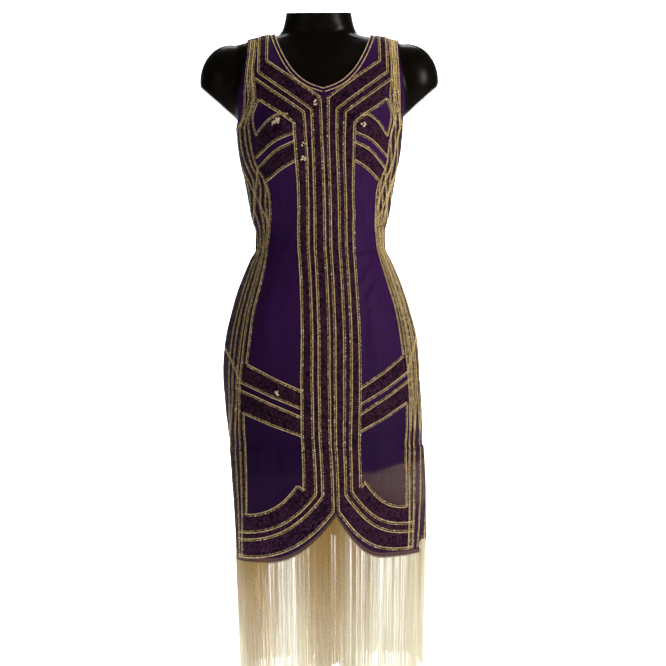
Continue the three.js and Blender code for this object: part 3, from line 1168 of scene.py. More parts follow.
FORM_BLACK = Finish(
    "gloss_black_form",
    (0.002, 0.0015, 0.0008, 1),
    (0.008, 0.0055, 0.0028, 1),
    roughness=0.3,
    specular=0.075,
)
STEEL = Finish(
    "satin_steel",
    (0.42, 0.42, 0.41, 1),
    (0.62, 0.62, 0.60, 1),
    roughness=0.34,
    metallic=1.0,
)


class Repeater(Graph):
    """A Geometry Nodes tree that sets one small shape on every point of a mesh."""

    SOCKETS = {
        "Points": "Geometry",
        "Width": "Float",
        "Length": "Float",
        "Uneven": "Float",
        "Material": "Material",
    }

    def __init__(self, name: str) -> None:
        """Makes the tree with its sockets and links it.

        Args:
            name: Name of the tree.
        """
        super().__init__(bpy.data.node_groups.new(name, "GeometryNodeTree"))
        face = self.tree.interface
        self.ids = {}
        for key, kind in self.SOCKETS.items():
            socket = face.new_socket(key, in_out="INPUT", socket_type=f"NodeSocket{kind}")
            self.ids[key] = socket.identifier
        face.new_socket("Mesh", in_out="OUTPUT", socket_type="NodeSocketGeometry")
        self.given = self.add("NodeGroupInput").outputs
        put = {"Geometry": self.joined(), "Material": self.given["Material"]}
        self.add("NodeGroupOutput", {0: self.add("GeometryNodeSetMaterial", put).outputs[0]})

    def shape(self) -> NodeSocket:
        """The small shape, one unit across and along its Z axis."""
        raise NotImplementedError

    def named(self, name: str, kind: str = "FLOAT") -> NodeSocket:
        """Values of one kind that the points carry."""
        return self.add("GeometryNodeInputNamedAttribute", {"Name": name}, data_type=kind).outputs[0]

    def placed(self, **inputs: Any) -> NodeSocket:
        """Sets instances on the points and realizes them.

        Args:
            inputs: What is set there, and its turn and scale.

        Returns:
            The joined geometry.
        """
        put = {"Points": self.given["Points"], **inputs}
        placed = self.add("GeometryNodeInstanceOnPoints", put).outputs[0]
        return self.add("GeometryNodeRealizeInstances", {0: placed}).outputs[0]

    def joined(self) -> NodeSocket:
        """Sets the shape on all points.

        Returns:
            The shapes as one mesh.
        """
        axes = {0: self.named("along", "FLOAT_VECTOR"), 1: self.named("out", "FLOAT_VECTOR")}
        turn = self.add("FunctionNodeAxesToRotation", axes, primary_axis="Z", secondary_axis="X")
        factor = self.math("ADD", self.swing(self.named("tone"), self.given["Uneven"]), 1.0)
        width, length = (self.math("MULTIPLY", self.given[key], factor) for key in ("Width", "Length"))
        scale = self.add("ShaderNodeCombineXYZ", {0: width, 1: width, 2: length}).outputs[0]
        return self.placed(Instance=self.shape(), Rotation=turn.outputs[0], Scale=scale)

    def make(self, name: str, points: Mesh, sizes: tuple[float, float, float], material: Material) -> Object:
        """Runs the tree on points and keeps the result as a plain mesh.

        Args:
            name: Name of the piece.
            points: Loose points with the tree's attributes.
            sizes: Half the shape's width and length in millimetres, and how uneven they are, as a share.
            material: What the shapes are made of.

        Returns:
            The piece.
        """
        piece = new_object(name, points)
        modifier = piece.modifiers.new("repeat", "NODES")
        modifier.node_group = self.tree
        width, length, uneven = sizes
        modifier[self.ids["Width"]] = width * MM
        modifier[self.ids["Length"]] = length * MM
        modifier[self.ids["Uneven"]] = uneven
        modifier[self.ids["Material"]] = material
        plain(piece)
        return piece


class BeadRepeater(Repeater):
    """Sets a long glass bead on every point."""

    def shape(self) -> NodeSocket:
        """A ball of twenty faces, drawn out by the tree's sizes."""
        ball = self.add("GeometryNodeMeshIcoSphere", {"Radius": 1.0, "Subdivisions": 1})
        return self.add("GeometryNodeSetShadeSmooth", {0: ball.outputs[0]}).outputs[0]


class SequinRepeater(Repeater):
    """Sets a cupped sequin on every point."""

    SIDES = 6
    DEPTH = 0.6

    def shape(self) -> NodeSocket:
        """A shallow cone of six sides."""
        sizes = {"Vertices": self.SIDES, "Radius Top": 0.0, "Radius Bottom": 1.0, "Depth": self.DEPTH}
        return self.add("GeometryNodeMeshCone", sizes, fill_type="NONE").outputs[0]


class StrandRepeater(Repeater):
    """Hangs a thin strand from every point, with its own length and a slight sway."""

    POINTS = 7
    SIDES = 3
    WAVES = 70.0
    SWAY = (1.0, 0.6, 0.0)
    LEAN = (-0.04, -0.02, 0.0)

    def shape(self) -> NodeSocket:
        """A straight line down, one unit long."""
        ends = {"Start": (0, 0, 0), "End": (0, 0, -1)}
        return self.add("GeometryNodeCurvePrimitiveLine", ends).outputs[0]

    def joined(self) -> NodeSocket:
        """Hangs a strand from all points.

        Returns:
            Three-sided tubes as one mesh.
        """
        scale = self.add("ShaderNodeCombineXYZ", {0: 1.0, 1: 1.0, 2: self.named("drop")}).outputs[0]
        lines = self.placed(Instance=self.shape(), Scale=scale)
        split = self.add("GeometryNodeResampleCurve", {"Curve": lines, "Count": self.POINTS}).outputs[0]
        share = self.add("GeometryNodeSplineParameter").outputs["Factor"]
        noise = self.add("ShaderNodeTexNoise", {"Scale": self.WAVES, "Detail": 1.0}).outputs["Color"]
        centred = self.vector("SUBTRACT", noise, (0.5, 0.5, 0.5))
        flat = self.vector("MULTIPLY", centred, self.SWAY)
        sway = self.vector("SCALE", flat, self.math("MULTIPLY", share, self.given["Uneven"]))
        spot = self.add("GeometryNodeInputPosition").outputs[0]
        lean = self.vector("SCALE", self.vector("MULTIPLY", spot, self.LEAN), share)
        moved = self.vector("ADD", sway, lean)
        bent = self.add("GeometryNodeSetPosition", {"Geometry": split, "Offset": moved}).outputs[0]
        size = {"Resolution": self.SIDES, "Radius": self.given["Width"]}
        ring = self.add("GeometryNodeCurvePrimitiveCircle", size).outputs[0]
        sweep = {"Curve": bent, "Profile Curve": ring, "Fill Caps": True}
        tube = self.add("GeometryNodeCurveToMesh", sweep).outputs[0]
        return self.add("GeometryNodeSetShadeSmooth", {0: tube}).outputs[0]


def plain(piece: Object) -> None:
    """Turns a piece with modifiers into a plain mesh.

    Args:
        piece: The piece.
    """
    bpy.context.view_layer.update()
    evaluated = piece.evaluated_get(bpy.context.evaluated_depsgraph_get())
    mesh = bpy.data.meshes.new_from_object(evaluated)
    old = piece.data
    piece.modifiers.clear()
    piece.data = mesh
    mesh.name = piece.name
    if old.users == 0:
        bpy.data.meshes.remove(old)


Place = tuple[float, float]
Leg = tuple[Place, ...]


def leg_points(leg: Leg, count: int) -> Array:
    """Even points along one leg of a line.

    Args:
        leg: Reach and level of its corners.
        count: How many points.

    Returns:
        The points.
    """
    corners = np.array(leg, float)
    lengths = run_lengths(corners)
    return along_line(np.linspace(0, lengths[-1], count), lengths, corners)


def arc(*points: Place, steps: int = 8) -> Leg:
    """A leg that runs in a soft curve through its points.

    Args:
        points: Reach and level of each point.
        steps: How many straight pieces lead from one point to the next.

    Returns:
        The leg.
    """
    given = np.array(points, float)
    padded = np.concatenate([[2 * given[0] - given[1]], given, [2 * given[-1] - given[-2]]])
    made = []
    for i in range(1, len(padded) - 2):
        p0, p1, p2, p3 = padded[i - 1 : i + 3]
        for t in np.linspace(0, 1, steps, endpoint=False):
            bend = (2 * p0 - 5 * p1 + 4 * p2 - p3) * t**2 + (3 * p1 - p0 - 3 * p2 + p3) * t**3
            made.append(tuple(0.5 * (2 * p1 + (p2 - p0) * t + bend)))
    return (*made, points[-1])


def scallop(start: Place, reach: float, low: float, power: float, steps: int = 28) -> Leg:
    """A leg that falls from a column in a hollow curve and runs level to the side.

    Args:
        start: Reach and level where it leaves the column.
        reach: Reach of its far end.
        low: Level of its far end.
        power: How early it falls.
        steps: How many points it has.

    Returns:
        The leg.
    """
    x, z = start
    shares = np.linspace(0, 1, steps)
    return tuple((x + (reach - x) * s, low + (z - low) * (1 - s) ** power) for s in shares)


@dataclass(frozen=True)
class BeadLine:
    """A beaded line on half a panel, in legs that keep its corners sharp."""

    legs: tuple[Leg, ...]
    rows: int = 2

    def path(self, count: int = 60) -> Array:
        """Points along the whole line, as many on each leg."""
        return np.concatenate([leg_points(leg, count) for leg in self.legs])


def nested(shoulder: Leg, down: Leg, hem: Leg) -> BeadLine:
    """A line from the strap to the middle, straight from corner to corner, then down and along the hem."""
    corners = (*shoulder, down[0])
    return BeadLine((*zip(corners, corners[1:]), down, hem))


@dataclass(frozen=True)
class SideRoute:
    """Where a side line lies from the inner line to the edge, on the bodice, the skirt and the foot."""

    bodice: float
    skirt: float
    foot: float
    low: float = 246
    top: float = 1104
    wave: float = 0.12
    wave_length: float = 19
    wave_phase: float = 23
    wave_start: tuple[float, float] = (790, 830)
    wave_end: float = 60
    waist: tuple[float, float] = (745, 810)
    middle: float = 620
    thigh: tuple[float, float] = (428, 520)

    def share(self, level: Array) -> Array:
        """Share of the way from the inner line to the edge.

        Args:
            level: Heights.

        Returns:
            The shares.
        """
        wander = self.wave * np.sin(level / self.wave_length + self.bodice * self.wave_phase)
        wander = wander * smooth(level, *self.wave_start) * smooth(self.top - level, 0, self.wave_end)
        upper = self.skirt + (self.bodice - self.skirt) * smooth(level, *self.waist)
        lower = self.foot + (self.skirt - self.foot) * smooth(level, *self.thigh)
        return np.clip(np.where(level > self.middle, upper, lower) + wander, 0, 1)


RIGHT_ROUTES = (
    SideRoute(0.06, 0.20, 0.30),
    SideRoute(0.24, 0.34, 0.30, low=446),
    SideRoute(0.42, 0.48, 0.62),
    SideRoute(0.60, 0.62, 0.62, low=446),
    SideRoute(0.78, 0.76, 0.94, low=446),
    SideRoute(0.96, 0.92, 0.94),
)
LEFT_ROUTES = (
    SideRoute(0.10, 0.20, 0.30),
    SideRoute(0.38, 0.36, 0.62),
    SideRoute(0.66, 0.54, 0.94),
    SideRoute(0.98, 0.72, 0.94, low=446),
)


# The nested lines: points on the shoulder, points down the middle, where the hem's scallop starts,
# and the scallop's reach, level and power.
NESTED_LINES = {
    Side.FRONT: (
        (((95, 1124), (95, 1065)), ((7, 999), (5, 900), (5, 320)), (5, 320), (156, 247, 2.5)),
        (((108, 1120), (108, 1046)), ((21.5, 979), (20, 900), (22, 345)), (22, 345), (156, 275, 2.3)),
        (((115, 1036),), ((35, 974), (31, 900), (34, 350)), (34, 350), (156, 288.5, 2.4)),
        (
            ((106, 1000),),
            ((51, 958), (45.5, 860), (46, 700), (50, 480), (53.5, 356)),
            (64, 364),
            (145, 317, 2.2),
        ),
    ),
    Side.BACK: (
        (((95, 1124), (95, 1104)), ((7, 1050), (5, 900), (5, 292)), (5, 292), (156, 268, 4.0)),
        (((108, 1120), (108, 1086)), ((21.5, 1028), (20, 900), (22, 318)), (22, 318), (156, 291, 4.0)),
        (((115, 1074),), ((35, 1018), (31, 900), (34, 330)), (34, 330), (156, 302, 4.0)),
        (
            ((112, 1044),),
            ((51, 1000), (45.5, 860), (46, 700), (50, 480), (53.5, 352)),
            (64, 358),
            (145, 330, 2.6),
        ),
    ),
}


@dataclass(frozen=True)
class Pattern:
    """Lines and bands of one panel's beadwork, on its half towards +X."""

    side: Side
    tilt: float = 0.05
    tilt_span: tuple[float, float] = (560, 780)
    back_bust_rise: float = 34
    neck_insets: tuple[float, ...] = (2.2, 8.2)
    side_shares: tuple[float, ...] = (0.03, 0.5, 0.8, 0.93, 0.98, 0.996, 1.0)
    side_top: float = 1100
    side_foot: tuple[float, float] = (262, 390)
    steps: int = 60
    side_steps: int = 120

    def columns(self) -> dict[str, BeadLine]:
        """The four nested lines that run from the strap down the middle and out along the hem.

        Returns:
            Lines by name, from the innermost.
        """
        lines = []
        for shoulder, down, start, hem in NESTED_LINES[self.side]:
            lines.append(nested(shoulder, down, (down[-1], *scallop(start, *hem))))
        return dict(zip(("first", "second", "third", "fourth"), lines))

    def bust(self) -> dict[str, BeadLine]:
        """Curved lines from the middle column to the sides of the chest.

        Returns:
            Lines by name, from the top.
        """
        up = 0 if self.side is Side.FRONT else self.back_bust_rise
        arcs = {
            "petal_edge": ((107, 1001), (115, 974), (109, 941)),
            "petal": ((60, 970), (75, 971), (92, 961), (109, 941)),
            "upper": ((51, 942), (80, 930), (110, 905)),
            "middle": ((50, 928), (79, 914), (106, 888)),
            "lower": ((48, 899), (72, 885), (94, 866)),
        }
        return {name: BeadLine((arc(*((x, z + up) for x, z in leg)),)) for name, leg in arcs.items()}

    def hips(self) -> dict[str, BeadLine]:
        """Slanting lines from the middle column out to the hips.

        Returns:
            Lines by name, from the top.
        """
        slants = (
            ((49, 519), (90, 541), (131, 567)),
            ((50, 492), (98, 515), (143, 541)),
            ((51, 478), (100, 502), (148, 529)),
            ((52, 450), (97, 468), (140, 490)),
        )
        return {f"hip_{i}": BeadLine((leg,)) for i, leg in enumerate(slants, 1)}

    def lean(self, reach: Array, level: Array) -> Array:
        """How far places rise with the tilt of the hanging cloth."""
        return self.tilt * reach * (1 - smooth(level, *self.tilt_span))

    def edge_reach(self, cut: PanelCut, sign: int, level: Array) -> Array:
        """Reach of one side's edge at some levels, as those levels lean with the hanging cloth."""
        reach = cut.side_reach(level, sign)
        return cut.side_reach(level + self.lean(sign * reach, level), sign)

    def edge_place(self, cut: PanelCut, sign: int, level: float) -> Place:
        """Reach and level of a place on one side's edge."""
        return float(self.edge_reach(cut, sign, np.array([level]))[0]), level

    def side_run(self, cut: PanelCut, sign: int, ends: tuple[float, float], route: SideRoute) -> BeadLine:
        """A line down the side, between the side bands' inner line and the panel's edge.

        Args:
            cut: The panel's cut.
            sign: Which half, -1 or 1.
            ends: Levels of its upper and lower ends.
            route: Where it lies between the inner line and the edge.

        Returns:
            The line.
        """
        levels = np.linspace(*ends, self.side_steps)
        inner, outer = SIDE_LINE.at("reach", levels), self.edge_reach(cut, sign, levels)
        return BeadLine((tuple(zip(inner + (outer - inner) * route.share(levels), levels)),))

    def sides(self, cut: PanelCut, sign: int) -> list[BeadLine]:
        """Lines that follow one side, closest together on the half towards +X.

        Args:
            cut: The panel's cut.
            sign: Which half, -1 or 1.

        Returns:
            The lines.
        """
        inner = SideRoute(0.0, 0.0, 0.0, wave=0.0)
        lines = [self.side_run(cut, sign, ends, inner) for ends in ((866, 568), (490, 316))]
        for route in RIGHT_ROUTES if sign > 0 else LEFT_ROUTES:
            lines.append(self.side_run(cut, sign, (route.top, route.low), route))
        chest, waist, hip = (self.edge_place(cut, sign, level) for level in (900.0, 800.0, 598.0))
        crossing = (((106, 888), waist), (chest, (90, 796)), arc(hip, (152, 574), (140, 541)))
        return lines + [BeadLine((leg,)) for leg in crossing]

    def neck(self, cut: PanelCut) -> list[BeadLine]:
        """Two fine lines that follow the neck edge.

        Args:
            cut: The panel's cut.

        Returns:
            The lines on the half towards +X.
        """
        share = np.linspace(0, 1, self.steps)
        reach = share * cut.neck_half_width
        level = cut.neck_level(share, np.ones_like(share))
        slope = np.gradient(level, reach)
        size = np.hypot(1, slope)
        made = []
        for inset in self.neck_insets:
            x, z = reach + inset * slope / size, level - inset / size
            made.append(BeadLine((tuple(zip(np.maximum(x, 0), z)),), rows=1))
        return made

    def bands(self, cut: PanelCut, sign: int) -> list[tuple[BeadLine, BeadLine]]:
        """Pairs of lines with sequins between them.

        Args:
            cut: The panel's cut.
            sign: Which half, -1 or 1.

        Returns:
            The pairs, given as on the half towards +X.
        """
        column, bust, hips = self.columns(), self.bust(), self.hips()
        down = column["first"].legs[2]
        middle = tuple((0.0, z) for _, z in down)
        return [
            (column["first"], column["second"]),
            (BeadLine(column["second"].legs[1:]), column["third"]),
            (column["third"], column["fourth"]),
            (BeadLine((middle,)), BeadLine((down,))),
            (bust["petal"], bust["upper"]),
            (bust["middle"], bust["lower"]),
            (hips["hip_1"], hips["hip_2"]),
            (hips["hip_3"], hips["hip_4"]),
            *self.side_bands(cut, sign),
        ]

    def side_bands(self, cut: PanelCut, sign: int) -> list[tuple[BeadLine, BeadLine]]:
        """Pairs of lines for the sequins between the side lines, narrower towards the seam.

        Args:
            cut: The panel's cut.
            sign: Which half, -1 or 1.

        Returns:
            The pairs.
        """
        ends = (self.side_top, self.side_foot[sign > 0])
        routes = [SideRoute(share, share, share, wave=0.0) for share in self.side_shares]
        lines = [self.side_run(cut, sign, ends, route) for route in routes]
        return list(zip(lines, lines[1:]))

    def lines(self, cut: PanelCut, sign: int) -> list[BeadLine]:
        """Every beaded line of one half, given as on the half towards +X."""
        made = [*self.columns().values(), *self.bust().values(), *self.hips().values()]
        return [*made, *self.sides(cut, sign), *self.neck(cut)]

    def settle(self, path: Array, sign: int) -> Array:
        """Mirrors a path to one half and tilts its lower part with the hanging cloth."""
        reach, level = sign * path[:, 0], path[:, 1]
        return np.stack([reach, level + self.lean(reach, level)], 1)


@dataclass(frozen=True)
class Beadwork:
    """Rows of gold beads and bands of sequins laid on one panel."""

    cut: PanelCut
    bead_pitch: float = 2.8
    bead_width: float = 0.98
    bead_length: float = 1.3
    bead_lift: float = 0.95
    bead_start: float = 0.8
    bead_margin: float = 1.2
    bead_uneven: float = 0.25
    row_gap: float = 1.55
    slant: float = 0.5
    # Tones of the two rows of a line: one row gets a painted highlight, the other a painted shade, as if lit
    # from one side.
    bright_tone: float = 0.58
    bright_spread: float = 0.60
    dim_spread: float = 0.72
    top_tone: float = 0.96
    skirt_top: float = 700
    look: float = 0.6
    sequin_pitch: float = 3.2
    sequin_row: float = 0.9
    sequin_radius: float = 1.9
    sequin_height: float = 0.9
    sequin_uneven: float = 0.2
    sequin_lift: float = 0.35
    sequin_start: float = 1.0
    sequin_margin: float = 2.0
    sequin_drift: float = 0.5
    sequin_stack: float = 0.3
    sequin_tip: float = 0.22
    sequin_tone: float = 0.99
    band_steps: int = 90
    # Reach, level and radius of spots where many sequins take the pale glint colour, as a painted highlight.
    turned_share: float = 0.6
    turned_over: tuple[tuple[float, float, float], ...] = (
        (-79, 962, 7),
        (-37, 924, 4),
        (-36, 901, 4),
        (-15, 990, 5),
        (66, 956, 4),
        (98, 900, 3),
        (-88, 515, 4),
    )

    @property
    def pattern(self) -> Pattern:
        """The pattern of this panel."""
        return Pattern(self.cut.side)

    def spaced(self, path: Array, pitch: float, start: float, offset: float) -> tuple[Array, ...]:
        """Evenly spaced places along a path on the cloth.

        Args:
            path: Reach and level along it.
            pitch: Distance from one place to the next.
            start: Distance of the first place from the path's start.
            offset: Distance outside the net's outer face.

        Returns:
            Points, directions along the path, directions out of the cloth, and the path at the points.
        """
        points = self.cut.place(path, offset)
        lengths = run_lengths(points)
        at = np.arange(start, lengths[-1], pitch)
        keep = np.concatenate([[True], np.diff(lengths) > TINY])
        lengths, points = lengths[keep], points[keep]
        spot = along_line(at, lengths, path[keep])
        ahead, behind = (along_line(at + step, lengths, points) for step in (self.look, -self.look))
        angle = self.cut.angle_at(spot[:, 0], spot[:, 1])
        out = self.cut.drape.figure.normal(angle, spot[:, 1])
        return self.cut.place(spot, offset), unit(ahead - behind), out, spot

    def beads(self) -> tuple[Array, ...]:
        """Places of all beads.

        Returns:
            Points, directions along each bead, directions out of the cloth, levels, and 1 in rows that get a
            painted shade.
        """
        parts: list[tuple[Array, ...]] = []
        for sign in (-1, 1):
            for number, line in enumerate(self.pattern.lines(self.cut, sign)):
                path = self.pattern.settle(line.path(), sign)
                for row in range(line.rows):
                    start = self.bead_start + row * self.bead_pitch / 2
                    place, along, out, spot = self.spaced(path, self.bead_pitch, start, self.bead_lift)
                    aside = np.cross(out, along)
                    # In two-row lines one row gets a painted shade, taking turns from line to line.
                    way, painted_shade_row = (2 * row - 1, (row + number + 1) % 2) if line.rows > 1 else (0, 0)
                    place = place + aside * (way * self.row_gap)
                    lean = way * self.slant
                    along = along * math.cos(lean) + aside * math.sin(lean)
                    level = spot[:, 1]
                    keep = self.cut.inside(spot, self.bead_margin)
                    found = (place, along, out, level, np.full(len(level), painted_shade_row))
                    parts.append(tuple(values[keep] for values in found))
        return tuple(np.concatenate(values) for values in zip(*parts))

    def sequins(self) -> tuple[Array, ...]:
        """Places of all sequins.

        Returns:
            Points, directions out of each sequin, directions along its row, and tones.
        """
        rng = np.random.default_rng(SEED + self.cut.side.value)
        parts: list[tuple[Array, ...]] = []
        for sign in (-1, 1):
            for pair in self.pattern.bands(self.cut, sign):
                a, b = (line.path(self.band_steps) for line in pair)
                sides = [self.cut.place(self.pattern.settle(path, sign), 0.0) for path in (a, b)]
                gap = float(np.median(np.linalg.norm(sides[0] - sides[1], axis=1)))
                rows = max(2, int(round(gap / (self.sequin_pitch * self.sequin_row))))
                for row in range(rows):
                    share = (row + 0.5) / rows
                    path = self.pattern.settle(a * (1 - share) + b * share, sign)
                    start = self.sequin_start + (row % 2) * self.sequin_pitch / 2
                    found = self.spaced(path, self.sequin_pitch, start, self.sequin_lift)
                    keep = self.cut.inside(found[-1], self.sequin_margin)
                    parts.append(tuple(values[keep] for values in found))
        place, along, out, spot = (np.concatenate(values) for values in zip(*parts))
        count = len(out)
        place = place + np.cross(out, along) * rng.normal(0, self.sequin_drift, (count, 1))
        place = place + out * rng.uniform(0, self.sequin_stack, (count, 1))
        out = unit(out + rng.normal(0, self.sequin_tip, out.shape))
        tone = rng.random(count) * self.sequin_tone
        # Painted highlight: sequins in the glint spots take tone 1, which gives them the glint colour.
        for reach, level, radius in self.turned_over:
            near = np.hypot(spot[:, 0] - reach, spot[:, 1] - level) < radius
            tone[near & (rng.random(count) < self.turned_share)] = 1.0
        return place, out, along, tone

    def build(self, gold: Material, plum: Material) -> list[Object]:
        """Makes the pieces of this panel's beadwork.

        Args:
            gold: Finish of the beads.
            plum: Finish of the sequins.

        Returns:
            Bodice beads, skirt beads and sequins.
        """
        word = self.cut.side.word
        beads = BeadRepeater(f"bead_rows_{word}")
        place, along, out, level, painted_shade_row = self.beads()
        draw = np.random.default_rng(SEED).random(len(place))
        # Painted light: lit rows take a high tone as a painted highlight, shaded rows a low tone as a
        # painted shade.
        painted_highlight = self.bright_tone + self.bright_spread * draw
        tone = np.clip(np.where(painted_shade_row == 0, painted_highlight, self.dim_spread * draw), 0, self.top_tone)
        # Painted highlight: a few beads take the glint colour.
        tone = np.where(draw > GOLD_BEAD.glint_from, draw, tone)
        made = []
        for part, mask in (("bodice", level >= self.skirt_top), ("skirt", level < self.skirt_top)):
            carried = {"along": along[mask], "out": out[mask], "tone": tone[mask]}
            points = point_mesh(f"{part}_points", place[mask], **carried)
            sizes = (self.bead_width, self.bead_length, self.bead_uneven)
            made.append(beads.make(f"beads_{part}_{word}", points, sizes, gold))
            declare(made[-1])
        place, facing, along, tone = self.sequins()
        points = point_mesh("sequin_points", place, along=facing, out=along, tone=tone)
        sizes = (self.sequin_radius, self.sequin_height, self.sequin_uneven)
        made.append(SequinRepeater(f"sequin_rows_{word}").make(f"sequins_{word}", points, sizes, plum))
        declare(made[-1])
        return made


@dataclass(frozen=True)
class DarkPlace:
    """A place along the hem where the fringe is thicker, with a painted shade that makes it browner."""

    x: float
    width: float
    part: float
    shorter: float = 0.0

    def amount(self, x: Array) -> Array:
        """How much painted shade, and how many extra strands, the fringe gets at sideways places."""
        return self.part * np.exp(-(((x - self.x) / self.width) ** 2))


@dataclass(frozen=True)
class Fringe:
    """The tape along one hem and the strands that hang from it."""

    cut: PanelCut
    strands: int = 440
    extra_strands: int = 460
    strand_radius: float = 0.27
    stray: float = 0.5
    length: float = 207
    notch_extra: float = 30
    dark_places: tuple[DarkPlace, ...] = (
        DarkPlace(4, 46, 0.75),
        DarkPlace(-112, 32, 1.0, shorter=0.5),
        DarkPlace(70, 18, 0.25),
    )
    tone: float = 0.8
    dark_tone: float = 1.15
    tone_spread: float = 0.15
    uneven: float = 3.5
    sway: float = 0.0014
    floor_room: float = 21
    first_gap: float = 0.2
    layer_gap: float = 0.9
    tape_rise: float = 7.5
    tape_drop: float = 1.0
    tape_gap: float = 0.35
    tape_thick: float = 0.8
    tape_rows: int = 5
    seed: int = SEED + 10

    def hem_row(self, rise: float, offset: float) -> Array:
        """Points along the hem.

        Args:
            rise: Height over the hem.
            offset: Distance outside the net's outer face.

        Returns:
            Points from -X to +X.
        """
        turn, _, _ = self.cut.columns()
        level = self.cut.hem_level(turn) + rise
        return self.cut.on_cloth(self.cut.hanging_turn(turn, level), level, self.cut.net + offset)

    def tape(self, material: Material) -> Object:
        """Makes the narrow woven tape that carries the strands.

        Args:
            material: Its finish.

        Returns:
            The tape.
        """
        rises = np.linspace(-self.tape_drop, self.tape_rise, self.tape_rows)
        offsets = (self.tape_gap + self.tape_thick, self.tape_gap)
        faces = [np.array([self.hem_row(rise, offset) for rise in rises]) for offset in offsets]
        return wall(f"fringe_tape_{self.cut.side.word}", *faces, self.cut.side is Side.BACK, material)

    def hang(self, material: Material) -> Object:
        """Hangs the strands in two layers, with a third one at the shaded places, where a painted shade also
        lowers their tone.

        Args:
            material: Their finish.

        Returns:
            The strands.
        """
        rng = np.random.default_rng(self.seed + self.cut.side.value)
        parts: list[tuple[Array, ...]] = []
        for layer, count in enumerate((self.strands, self.strands, self.extra_strands)):
            offset = self.tape_gap + self.first_gap + self.layer_gap * layer
            line = self.hem_row(self.tape_drop, offset)
            lengths = run_lengths(line)
            at = np.arange(count) + 0.5 + 0.5 * layer + rng.uniform(-self.stray, self.stray, count)
            root = along_line(at / (count + 1) * lengths[-1], lengths, line)
            dark = sum(spot.amount(root[:, 0]) for spot in self.dark_places)
            drop = self.length + rng.normal(0, 1.0, count) * self.uneven
            keep = np.ones(count, bool)
            if layer == 2:
                shorter = sum(spot.shorter * spot.amount(root[:, 0]) for spot in self.dark_places)
                drop = drop * (1 - shorter)
                keep = rng.random(count) < dark
            parts.append((root[keep], drop[keep], dark[keep]))
        place, drop, dark = (np.concatenate(values) for values in zip(*parts))
        notch = np.clip((place[:, 2] - self.cut.scallop_low) / self.cut.notch_rise, 0, 1)
        longer = self.notch_extra * notch if self.cut.side is Side.FRONT else 0
        drop = np.minimum(drop + longer, place[:, 2] - self.floor_room)
        # Painted shade: strands at the shaded places get a lower tone, so they read browner.
        tone = self.tone - self.dark_tone * dark + rng.normal(0, self.tone_spread, len(place))
        points = point_mesh("strand_points", place, drop=drop * MM, tone=np.clip(tone, 0, 1))
        word = self.cut.side.word
        strands = StrandRepeater(f"hanging_strands_{word}")
        sizes = (self.strand_radius, 0.0, self.sway)
        return strands.make(f"fringe_strands_{word}", points, sizes, material)

    def build(self, thread: Material, woven: Material) -> list[Object]:
        """Makes the tape and the strands.

        Args:
            thread: Finish of the strands.
            woven: Finish of the tape.

        Returns:
            The tape and the strands.
        """
        tape, strands = self.tape(woven), self.hang(thread)
        declare(tape)
        declare(strands, f"fringe_{self.cut.side.word}")
        return [tape, strands]


@dataclass(frozen=True)
class Panel:
    """Net and skirt lining of one half of the dress."""

    cut: PanelCut
    lining_gap: float = 0.4
    lining_thick: float = 0.6
    net_inner: float = 0.2
    # The net is nearly opaque on the -X side: a painted shade, a dark sheet in place of the shaded inside
    # there.
    sheer_left: float = 0.985
    sheer_right: float = 0.76
    sheer_reach: tuple[float, float] = (-20, 40)
    sheer_levels: tuple[float, float] = (379, 386)
    band_cover: float = 0.9
    band_reach: tuple[float, float] = (64, 145)
    band_low: float = 317
    band_rise: float = 47
    band_power: float = 2.2
    band_tilt: float = 0.05
    band_edge: tuple[float, float] = (-4, 2)

    def cover(self, x: Array, level: Array) -> Array:
        """How far the net hides what is behind it.

        Args:
            x: Sideways places.
            level: Heights.

        Returns:
            Shares, less than one under the lining's hem and over the beaded band.
        """
        # Painted shade: the net hides more of the inside towards -X.
        sheer = self.sheer_left + (self.sheer_right - self.sheer_left) * smooth(x, *self.sheer_reach)
        above = smooth(level - self.cut.lining_lift(x), *self.sheer_levels)
        start, end = self.band_reach
        along = np.clip((np.abs(x) - start) / (end - start), 0, 1)
        band_top = self.band_low + self.band_rise * (1 - along) ** self.band_power + self.band_tilt * x
        beaded = 1 - smooth(level - band_top, *self.band_edge)
        return sheer + (1 - sheer) * np.maximum(above, self.band_cover * beaded)

    def layer(self, name: str, levels: Array, offsets: Sequence[float], material: Material) -> Object:
        """One layer of cloth from its rows' levels and the offsets of its outer and inner face."""
        faces = [self.cut.grid(levels, offset) for offset in offsets]
        return wall(f"{name}_{self.cut.side.word}", *faces, self.cut.side is Side.BACK, material)

    def build(self, outer: Material, inner: Material) -> list[Object]:
        """Makes the outer net, sheer under the lining's hem, and the skirt lining inside it.

        Args:
            outer: Finish of the net.
            inner: Finish of the lining.

        Returns:
            The net and the lining.
        """
        turn, _, top_level = self.cut.columns()
        levels = self.cut.net_levels(turn, top_level)
        net = self.layer("net_panel", levels, (self.cut.net, self.net_inner), outer)
        cover = self.cover(self.cut.grid(levels, self.cut.net)[..., 0], levels)
        values = net.data.attributes.new("cover", "FLOAT", "POINT")
        values.data.foreach_set("value", np.concatenate([cover.ravel()] * 2).astype(np.float32))
        offsets = (-self.lining_gap, -self.lining_gap - self.lining_thick)
        lining = self.layer("lining_panel", self.cut.lining_levels(turn), offsets, inner)
        declare(net, f"net_{self.cut.side.word}")
        declare(lining, f"lining_{self.cut.side.word}")
        return [net, lining]


